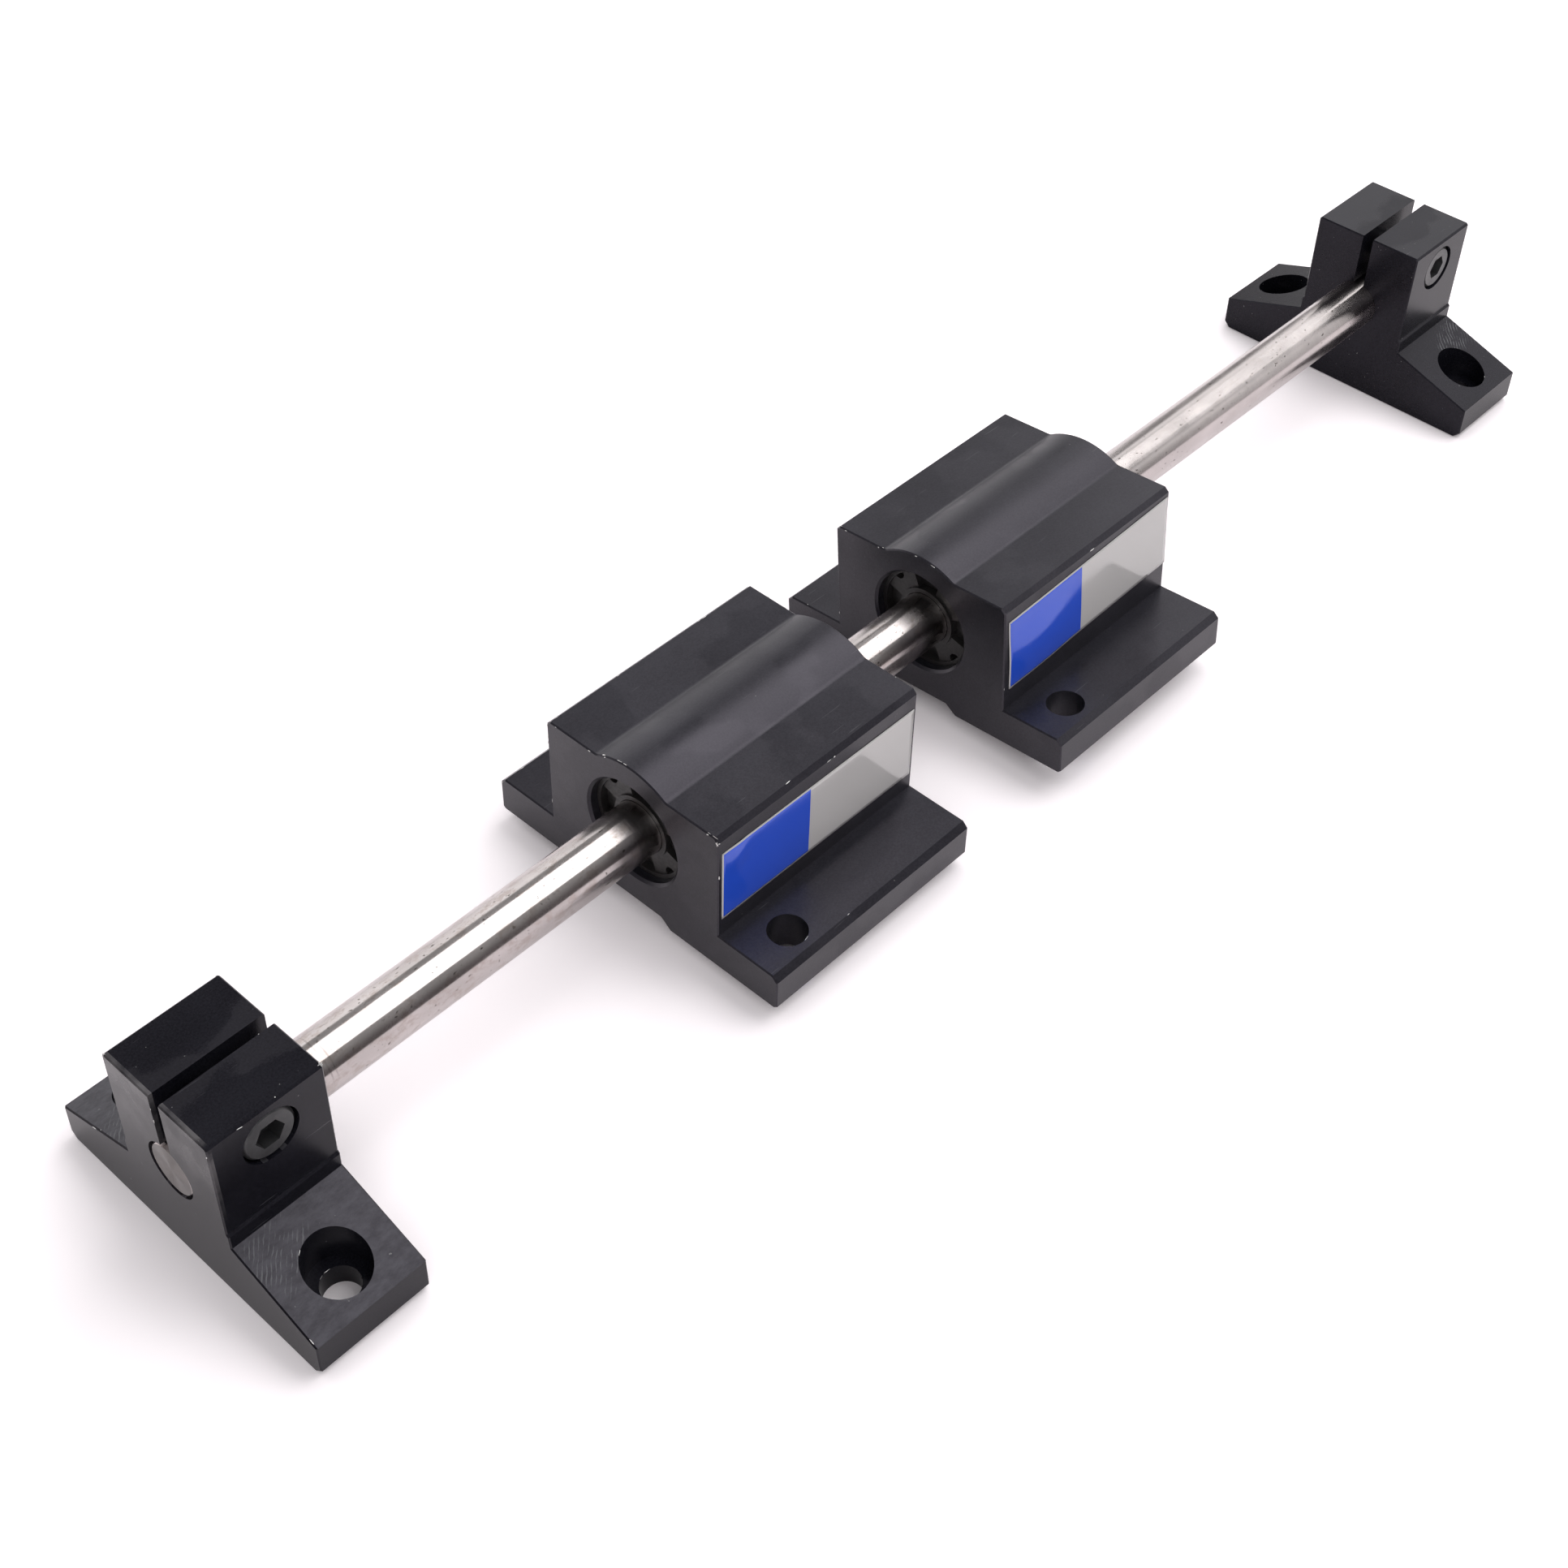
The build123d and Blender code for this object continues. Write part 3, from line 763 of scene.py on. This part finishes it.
def dark_part(name, tones, roughness, metallic, waves, depth):
    """A dark moulded or blackened surface with an even, fine texture."""
    material, tree, shader = node_material(name)
    fine = noise(tree, waves, detail=3)
    cloud = noise(tree, DARK_CLOUD_WAVES, detail=3)
    bump(tree, shader, fine, depth)
    plug(tree, shader, {
        "Base Color": span(tree, cloud, DARK_EDGE, tones),
        "Roughness": span(tree, fine, DARK_EDGE, roughness),
        "Metallic": metallic,
    })
    return material


finish_of_slot = {name: dark_part(name, *values) for name, values in DARK_PARTS.items()}
print("dark finishes:", list(finish_of_slot))

# %% [markdown]
# Every piece gets the finish of the slot that the record names for it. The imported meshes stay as
# they are, and only their material changes. The frame has plain materials of the same names, so a
# new one's own name gets a number behind it, and the table here goes by slot and not by that name.

# %% Give every machined piece its finish
finish_of_slot.update({
    "block_anodised": block_black,
    "support_anodised": support_black,
    "shaft_steel": shaft_steel,
    "bearing_steel": bearing_steel,
})
for row in frame["record"]["subparts"]:
    piece = nodes[row["node"]]
    piece.data.materials.clear()
    piece.data.materials.append(finish_of_slot[row["material_slot"]])

# %% [markdown]
# The stickers. Each block has a thin film label on its -Y side, nearly as long as the block. One
# bare field is blue, over the end nearer the camera, the other is silver grey, and a thin silver
# border runs round them. A flat painted patch would reflect evenly, but a real film has ripples
# and places that have lifted. So it is a grid of points whose height follows a formula, and its
# underside is closed.

# %% Shape of a label, in the block's own upright frame about the shaft's axis
BLOCK_SIDE_Y = 12.35 * MM
LABEL_CORNER = {"near": (0.48 * MM, -4.05 * MM), "far": (0.94 * MM, -3.78 * MM)}
LABEL_TILT = {"near": math.radians(-0.24), "far": math.radians(1.9)}
LABEL_LENGTH = 29.2 * MM
LABEL_WIDTH = 9.6 * MM
LABEL_THICKNESS = 0.07 * MM
LABEL_STEPS = (60, 20)
LABEL_GAP = 0.02 * MM
LABEL_RIPPLE = 0.03 * MM
RIPPLE_WAVES = (9.0, 5.0)
RIPPLE_SEED = {"near": 1.0, "far": 2.3}
RIPPLE_MARGIN = 0.08
BULGE_MIDDLE = {"near": (0.08, 0.80), "far": (0.20, 0.40)}
BULGE_REACH = {"near": (0.08, 0.28), "far": (0.30, 0.62)}
BULGE_RISE = {"near": 0.16 * MM, "far": 0.36 * MM}


def label_height(side, u, v):
    """How far the film stands off the metal at a place (0 to 1 along and up)."""
    seed = RIPPLE_SEED[side]
    wave = math.sin(RIPPLE_WAVES[0] * u + seed) * math.sin(RIPPLE_WAVES[1] * v + 2.0 * seed)
    settle = min(1.0, min(u, 1 - u, v, 1 - v) / RIPPLE_MARGIN)
    (middle_u, middle_v), (reach_u, reach_v) = BULGE_MIDDLE[side], BULGE_REACH[side]
    off = min(1.0, math.hypot((u - middle_u) / reach_u, (v - middle_v) / reach_v))
    bulge = BULGE_RISE[side] * math.cos(off * math.pi / 2) ** 2
    return LABEL_GAP + LABEL_RIPPLE * (0.5 + 0.5 * wave) * settle + bulge


def label_point(side, block_start, u, v, thickness):
    """The place of a film point, tilted on the block's side and rolled with the block."""
    tilt, roll = LABEL_TILT[side], block_roll[side]
    corner_x, corner_z = LABEL_CORNER[side]
    along, up = u * LABEL_LENGTH, v * LABEL_WIDTH
    x = block_start + corner_x + along * math.cos(tilt) - up * math.sin(tilt)
    z = corner_z + along * math.sin(tilt) + up * math.cos(tilt)
    out = BLOCK_SIDE_Y + label_height(side, u, v) + thickness
    y = -out * math.cos(roll) - z * math.sin(roll)
    z = -out * math.sin(roll) + z * math.cos(roll)
    return x, y, z + shaft_height


for side in ("near", "far"):
    top_of_bulge = label_height(side, *BULGE_MIDDLE[side])
    print(side, "label stands off by mm:", round(top_of_bulge / MM, 2))

# %% [markdown]
# The film's mesh. Two grids of points, one under the other, are joined round their edge, so the
# film is a closed solid as thin as the real one. A UV map, which is 0 to 1 along and up the
# label, tells the material where its border and its fields are.

# %% Build the film


def film_layer(mesh, side, block_start, thickness):
    """Rows of film points, each with its place on the label."""
    steps_u, steps_v = LABEL_STEPS
    rows = []
    for j in range(steps_v + 1):
        row = []
        for i in range(steps_u + 1):
            u, v = i / steps_u, j / steps_v
            row.append((mesh.verts.new(label_point(side, block_start, u, v, thickness)), (u, v)))
        rows.append(row)
    return rows


def film_quads(under, over):
    """The corners of every face: the two layers, then the four sides, all facing outward."""
    steps_u, steps_v = LABEL_STEPS
    for j in range(steps_v):
        for i in range(steps_u):
            yield over[j][i], over[j][i + 1], over[j + 1][i + 1], over[j + 1][i]
            yield under[j][i], under[j + 1][i], under[j + 1][i + 1], under[j][i + 1]
    for i in range(steps_u):
        yield under[0][i], under[0][i + 1], over[0][i + 1], over[0][i]
        yield over[steps_v][i], over[steps_v][i + 1], under[steps_v][i + 1], under[steps_v][i]
    for j in range(steps_v):
        yield over[j][0], over[j + 1][0], under[j + 1][0], under[j][0]
        yield under[j][steps_u], under[j + 1][steps_u], over[j + 1][steps_u], over[j][steps_u]


def make_label(side, block_start):
    """A film grid with a top and a bottom layer, closed round its edge."""
    mesh = bmesh.new()
    uv_layer = mesh.loops.layers.uv.new("label_uv")
    under = film_layer(mesh, side, block_start, 0.0)
    over = film_layer(mesh, side, block_start, LABEL_THICKNESS)
    for corners in film_quads(under, over):
        face = mesh.faces.new([vert for vert, _ in corners])
        for loop, (_, uv) in zip(face.loops, corners):
            loop[uv_layer].uv = uv
    data = bpy.data.meshes.new(f"{side}_label")
    mesh.to_mesh(data)
    mesh.free()
    data.shade_smooth()
    label = bpy.data.objects.new(f"{side}_label", data)
    bpy.context.scene.collection.objects.link(label)
    return label


print("film points in a layer:", (LABEL_STEPS[0] + 1) * (LABEL_STEPS[1] + 1))

# %% [markdown]
# The print on the film. It is ink over a silvery film, so both fields have a small share of
# metal and a glossy face with fine unevenness. The border and the split between the fields are
# plain comparisons of the UV map, which stay sharp at any distance.

# %% Label film: two printed fields inside a silver border
LABEL_BLUE = (0.022, 0.085, 0.62)
LABEL_SILVER = (0.52, 0.51, 0.505)
LABEL_SPLIT = 0.445
LABEL_BORDER = 0.22 * MM
FOIL_SHARE_BLUE = 0.12
FOIL_SHARE_SILVER = 0.10
FILM_WAVES = 2500
FILM_EDGE = (0.35, 0.65)
FILM_ROUGHNESS = (0.08, 0.15)
FILM_BUMP_WAVES = 700
FILM_BUMP_DEPTH = 3 * MICRON


def blue_field(tree):
    """1 on the blue field, inside the border, and 0 on the rest of the label."""
    along, up, _ = split(tree, add_node(tree, "ShaderNodeUVMap", uv_map="label_uv").outputs["UV"])
    field = math_node(tree, "GREATER_THAN", along, LABEL_BORDER / LABEL_LENGTH)
    for distance in (up, math_node(tree, "SUBTRACT", 1.0, up)):
        past = math_node(tree, "GREATER_THAN", distance, LABEL_BORDER / LABEL_WIDTH)
        field = product(tree, field, past)
    return product(tree, field, math_node(tree, "LESS_THAN", along, LABEL_SPLIT))


def label_material():
    """Printed film: blue field, silver field and border from the label's UV map."""
    material, tree, shader = node_material("label_film")
    blue = blue_field(tree)
    foil = product(tree, blue, FOIL_SHARE_BLUE - FOIL_SHARE_SILVER)
    roughness = span(tree, noise(tree, FILM_WAVES, detail=3), FILM_EDGE, FILM_ROUGHNESS)
    bump(tree, shader, noise(tree, FILM_BUMP_WAVES, detail=3), FILM_BUMP_DEPTH)
    plug(tree, shader, {
        "Base Color": mix_colour(tree, blue, LABEL_SILVER, LABEL_BLUE),
        "Metallic": math_node(tree, "ADD", foil, FOIL_SHARE_SILVER),
        "Roughness": roughness,
    })
    return material


label_film = label_material()
print("blue field mm:", round((LABEL_SPLIT * LABEL_LENGTH - LABEL_BORDER) / MM, 1))

# %% [markdown]
# Each label starts a little behind its block's front end, so the block's own box says where. It
# rides on the body of its block, and so it swings and slides with it.

# %% Put the labels on the blocks
for side in ("near", "far"):
    low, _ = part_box(f"{side}_block_housing")
    label = make_label(side, low[0])
    label.data.materials.append(label_film)
    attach(label, f"{side}_block")
    print(side, "label starts at mm:", round((low[0] + LABEL_CORNER[side][0]) / MM, 2))

# %% [markdown]
# The chipped edges. Black anodising is a thin hard skin, and a knock on a sharp edge flakes it
# off, so that bright metal shows. The flakes could be painted by a mask, but the machined pieces
# have no map of their edges, so here the edges themselves are followed. First come the rules
# that say how worn an edge is by its place.

# %% How worn an edge is
BLOCK_BORE_REACH = 8.4 * MM
BLOCK_WORN_ABOVE = -7 * MM
BLOCK_TOP_ABOVE = 6 * MM
BLOCK_FRONT_DEPTH = 1 * MM
BLOCK_WEAR = {"top of the front": 1.0, "elsewhere": 0.2}
SUPPORT_BORE_REACH = 4 * MM
SUPPORT_WORN_ABOVE = 1.5 * MM
SUPPORT_TOP_ABOVE = 22 * MM
SUPPORT_WEAR = {"top": 0.7, "elsewhere": 0.3}
FAR_SUPPORT_SHARE = 0.15


def block_wear(roll):
    """A rule that says how worn a block's edge is: most at the top of its front end."""
    def wear(place, front):
        y, z = place.y, place.z - shaft_height
        y, z = y * math.cos(roll) + z * math.sin(roll), z * math.cos(roll) - y * math.sin(roll)
        if math.hypot(y, z) < BLOCK_BORE_REACH or z < BLOCK_WORN_ABOVE:
            return 0.0
        top_of_front = place.x < front + BLOCK_FRONT_DEPTH and z > BLOCK_TOP_ABOVE
        return BLOCK_WEAR["top of the front" if top_of_front else "elsewhere"]
    return wear


def support_wear(place, front):
    """How worn a support's edge is: most round its top, and not at all in its bores."""
    if math.hypot(place.y, place.z - shaft_height) < SUPPORT_BORE_REACH or place.z < SUPPORT_WORN_ABOVE:
        return 0.0
    wear = SUPPORT_WEAR["top" if place.z > SUPPORT_TOP_ABOVE else "elsewhere"]
    return wear if front < 0 else FAR_SUPPORT_SHARE * wear


print("the far support's share of wear:", FAR_SUPPORT_SHARE)

# %% [markdown]
# The ridges. A ridge is an edge of the mesh where two faces meet at an outward angle. The packed
# meshes are read, welded in a copy and searched for such edges. Each point of a ridge carries
# the direction that looks out of the edge and its wear, for the tree that strews the chips.

# %% Find the ridges of the machined pieces
RIDGE_ANGLE = math.radians(30)
WELD = 0.002 * MM


def welded_copy(piece):
    """A copy of a piece's mesh in the scene's frame, with its double points merged."""
    shell = bmesh.new()
    shell.from_mesh(nodes[piece].data)
    bmesh.ops.transform(shell, matrix=nodes[piece].matrix_world, verts=shell.verts)
    bmesh.ops.remove_doubles(shell, verts=shell.verts, dist=WELD)
    shell.normal_update()
    return shell


def is_ridge(edge):
    """Whether two faces meet at the edge at an outward angle."""
    return len(edge.link_faces) == 2 and edge.is_convex and edge.calc_face_angle() >= RIDGE_ANGLE


def add_ridges(ridges, shell, wear_of):
    """Add the worn ridges of one shell, with their outward directions and their wear."""
    outward_layer = ridges.verts.layers.float_vector["outward"]
    wear_layer = ridges.verts.layers.float["wear"]
    front = min(vert.co.x for vert in shell.verts)
    corners = {}
    for edge in filter(is_ridge, shell.edges):
        wear = wear_of((edge.verts[0].co + edge.verts[1].co) / 2, front)
        if wear == 0.0:
            continue
        outward = (edge.link_faces[0].normal + edge.link_faces[1].normal).normalized()
        for vert in edge.verts:
            if vert.index not in corners:
                corners[vert.index] = ridges.verts.new(vert.co)
            corners[vert.index][outward_layer] = outward
            corners[vert.index][wear_layer] = wear
        ridges.edges.new([corners[vert.index] for vert in edge.verts])


def ridge_mesh(name, pieces, wear_of):
    """The worn sharp edges of some pieces, each point with its outward direction and its wear."""
    ridges = bmesh.new()
    ridges.verts.layers.float_vector.new("outward")
    ridges.verts.layers.float.new("wear")
    for piece in pieces:
        shell = welded_copy(piece)
        add_ridges(ridges, shell, wear_of)
        shell.free()
    mesh = bpy.data.meshes.new(name)
    ridges.to_mesh(mesh)
    ridges.free()
    print(name, "edges:", len(mesh.edges))
    return mesh


print("least angle of a ridge in degrees:", round(math.degrees(RIDGE_ANGLE)))

# %% [markdown]
# Bare metal. Inside a fresh chip the aluminium is bright and a little rough, so it catches the
# light from most sides. Full metal would turn black wherever it mirrors the dark horizon.

# %% Bright metal in a chip
BARE_WAVES = 3000
BARE_EDGE = (0.3, 0.7)
BARE_TONES = ((0.55, 0.54, 0.53), (0.86, 0.85, 0.84))
BARE_ROUGHNESS = (0.45, 0.28)
BARE_METAL_SHARE = 0.6
BARE_DEPTH = 4 * MICRON


def bare_metal():
    """Fresh bright aluminium in a chip, faintly rough."""
    material, tree, shader = node_material("bare_aluminium")
    cloud = noise(tree, BARE_WAVES, detail=3)
    bump(tree, shader, cloud, BARE_DEPTH)
    plug(tree, shader, {
        "Base Color": span(tree, cloud, BARE_EDGE, BARE_TONES),
        "Roughness": span(tree, cloud, BARE_EDGE, BARE_ROUGHNESS),
        "Metallic": BARE_METAL_SHARE,
    })
    return material


bare_aluminium = bare_metal()
print("finish:", bare_aluminium.name)

# %% [markdown]
# The tree that strews the chips, in Geometry Nodes. Chips placed by hand would be a long list of
# numbers that no longer fits when an edge moves. So the tree walks along the ridges in small
# steps and keeps some at random, more of them where a coarse noise and the wear agree, which
# brings the chips in clusters.

# %% Walk along the ridges and choose the chips' places
CLUSTER_WAVES = 260.0
CLUSTER_DETAIL = 1.0
CLUSTER_EDGE = (0.50, 0.72)


def attribute(tree, name, kind):
    """A value that the ridges carry at each point."""
    node = add_node(tree, "GeometryNodeInputNamedAttribute", {"Name": name}, data_type=kind)
    return node.outputs["Attribute"]


def walk(tree, given):
    """Points along the ridges, one at every step."""
    curve = add_node(tree, "GeometryNodeMeshToCurve", {"Mesh": given["Ridges"]}).outputs["Curve"]
    inputs = {"Curve": curve, "Length": given["Step"]}
    return add_node(tree, "GeometryNodeResampleCurve", inputs, mode="LENGTH").outputs["Curve"]


def chosen(tree, given):
    """True at random, and more often in a cluster and on a worn edge."""
    clusters = add_node(tree, "ShaderNodeTexNoise", {"Scale": CLUSTER_WAVES, "Detail": CLUSTER_DETAIL})
    inputs = {"Value": clusters.outputs["Fac"], "From Min": CLUSTER_EDGE[0], "From Max": CLUSTER_EDGE[1]}
    likely = add_node(tree, "ShaderNodeMapRange", inputs).outputs["Result"]
    chance = product(tree, likely, attribute(tree, "wear", "FLOAT"), given["Share"])
    inputs = {"Probability": chance, "Seed": given["Seed"]}
    return add_node(tree, "FunctionNodeRandomValue", inputs, data_type="BOOLEAN").outputs["Value"]


print("clusters are mm apart:", round(1 / CLUSTER_WAVES / MM, 1))

# %% [markdown]
# A chip is a flattened ball. It is turned so that its own Z looks out of the edge and its own X
# runs along it, and its size is drawn at random between two sizes. Then it is sunk a little into
# the edge, so that only a sliver shows, and crumpled.

# %% Turn, size, sink and crumple the chips
SIZE_SEED_STEP = 7
FLAKE_RADIUS = 0.5
FLAKE_SUBDIVISIONS = 2
CRUMPLE_WAVES = 9000.0
CRUMPLE_DEPTH = 0.04 * MM
MIDDLE_GREY = (0.5, 0.5, 0.5)


def lie_on_edge(tree):
    """The rotation that lays a chip's Z outward and its X along the edge."""
    kind = "FunctionNodeAlignRotationToVector"
    upright = add_node(tree, kind, {"Vector": attribute(tree, "outward", "FLOAT_VECTOR")}, axis="Z")
    tangent = add_node(tree, "GeometryNodeInputTangent").outputs["Tangent"]
    inputs = {"Rotation": upright.outputs["Rotation"], "Vector": tangent}
    return add_node(tree, kind, inputs, axis="X", pivot_axis="Z").outputs["Rotation"]


def random_size(tree, given):
    """A size between the shortest and the longest, drawn apart for each axis."""
    seed = math_node(tree, "ADD", given["Seed"], SIZE_SEED_STEP)
    inputs = {"Min": given["Shortest"], "Max": given["Longest"], "Seed": seed}
    return add_node(tree, "FunctionNodeRandomValue", inputs, data_type="FLOAT_VECTOR").outputs["Value"]


def strewn(tree, given):
    """Flattened balls on the chosen places of the ridges."""
    inputs = {"Radius": FLAKE_RADIUS, "Subdivisions": FLAKE_SUBDIVISIONS}
    flake = add_node(tree, "GeometryNodeMeshIcoSphere", inputs).outputs["Mesh"]
    return add_node(tree, "GeometryNodeInstanceOnPoints", {
        "Points": walk(tree, given),
        "Selection": chosen(tree, given),
        "Instance": flake,
        "Rotation": lie_on_edge(tree),
        "Scale": random_size(tree, given),
    }).outputs["Instances"]


def sunk(tree, given, chips):
    """The chips, each moved into its edge."""
    down = add_node(tree, "ShaderNodeCombineXYZ", {"Z": product(tree, given["Sunk"], -1)})
    inputs = {"Instances": chips, "Translation": down.outputs["Vector"]}
    return add_node(tree, "GeometryNodeTranslateInstances", inputs).outputs["Instances"]


def crumpled(tree, mesh):
    """The mesh with its points moved a little by a fine noise."""
    cloud = add_node(tree, "ShaderNodeTexNoise", {"Scale": CRUMPLE_WAVES}).outputs["Color"]
    inputs = {0: cloud, 1: MIDDLE_GREY}
    centred = add_node(tree, "ShaderNodeVectorMath", inputs, operation="SUBTRACT").outputs["Vector"]
    inputs = {0: centred, "Scale": CRUMPLE_DEPTH}
    offset = add_node(tree, "ShaderNodeVectorMath", inputs, operation="SCALE").outputs["Vector"]
    inputs = {"Geometry": mesh, "Offset": offset}
    return add_node(tree, "GeometryNodeSetPosition", inputs).outputs["Geometry"]


print("crumple depth mm:", CRUMPLE_DEPTH / MM)

# %% [markdown]
# The whole tree has named inputs with default values, so that one tree serves all three bodies.
# It ends with real meshes and their material, because a body carries plain meshes only.

# %% Put the tree together
CHIP_INPUTS = {
    "Ridges": ("NodeSocketGeometry", None),
    "Step": ("NodeSocketFloat", 0.8 * MM),
    "Share": ("NodeSocketFloat", 0.5),
    "Shortest": ("NodeSocketVector", (0.12 * MM, 0.04 * MM, 0.06 * MM)),
    "Longest": ("NodeSocketVector", (0.80 * MM, 0.12 * MM, 0.09 * MM)),
    "Sunk": ("NodeSocketFloat", 0.02 * MM),
    "Seed": ("NodeSocketInt", 1),
}


def chip_tree(material):
    """The tree: ridges in, real slivers with their material out."""
    tree = bpy.data.node_groups.new("edge_chips", "GeometryNodeTree")
    for name, (kind, value) in CHIP_INPUTS.items():
        socket = tree.interface.new_socket(name, in_out="INPUT", socket_type=kind)
        if value is not None:
            socket.default_value = value
    tree.interface.new_socket("Chips", in_out="OUTPUT", socket_type="NodeSocketGeometry")
    given = tree.nodes.new("NodeGroupInput").outputs
    chips = sunk(tree, given, strewn(tree, given))
    real = add_node(tree, "GeometryNodeRealizeInstances", {"Geometry": chips}).outputs["Geometry"]
    inputs = {"Geometry": crumpled(tree, real), "Material": material}
    finished = add_node(tree, "GeometryNodeSetMaterial", inputs).outputs["Geometry"]
    add_node(tree, "NodeGroupOutput", {"Chips": finished})
    return tree


chips_tree = chip_tree(bare_aluminium)
print("nodes in the chips' tree:", len(chips_tree.nodes))

# %% [markdown]
# Each body gets its own chips. A carrier object with the ridges runs the tree, its result
# becomes a plain mesh, and the carrier goes away. A chip is a hollow in the real edge, so none
# may stand out by more than a hair: what passes the machined model's box is pressed back.

# %% Strew the chips and turn them into plain meshes
FLUSH = 0.008 * MM


def strew_on(ridges, values):
    """The result of the chips' tree on a mesh of ridges, as a plain mesh."""
    carrier = bpy.data.objects.new(ridges.name, ridges)
    bpy.context.scene.collection.objects.link(carrier)
    modifier = carrier.modifiers.new("chips", "NODES")
    modifier.node_group = chips_tree
    for socket in chips_tree.interface.items_tree:
        if socket.name in values:
            modifier[socket.identifier] = values[socket.name]
    evaluated = carrier.evaluated_get(bpy.context.evaluated_depsgraph_get())
    mesh = bpy.data.meshes.new_from_object(evaluated)
    carrier.modifiers.remove(modifier)
    bpy.data.objects.remove(carrier)
    return mesh


def press_flush(mesh):
    """Press what stands out of the machined model's box back to its faces."""
    low, high = cad_bounds
    for vert in mesh.vertices:
        for axis in range(3):
            vert.co[axis] = min(max(vert.co[axis], low[axis] - FLUSH), high[axis] + FLUSH)


def make_chips(body, pieces, wear_of, values):
    """Chips along the ridges of one body's pieces, as a plain mesh on that body."""
    mesh = strew_on(ridge_mesh(f"{body}_ridges", pieces, wear_of), values)
    mesh.name = f"{body}_edge_chips"
    press_flush(mesh)
    chips = bpy.data.objects.new(f"{body}_edge_chips", mesh)
    bpy.context.scene.collection.objects.link(chips)
    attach(chips, body)
    print(body, "chips, triangles:", len(mesh.polygons))
    return chips


supports = ["near_end_support", "far_end_support"]
make_chips("rail", supports, support_wear, {"Seed": 4, "Share": 0.6})
for side, values in {"near": {"Seed": 2, "Share": 0.8}, "far": {"Seed": 9, "Share": 0.5}}.items():
    make_chips(f"{side}_block", [f"{side}_block_housing"], block_wear(block_roll[side]), values)
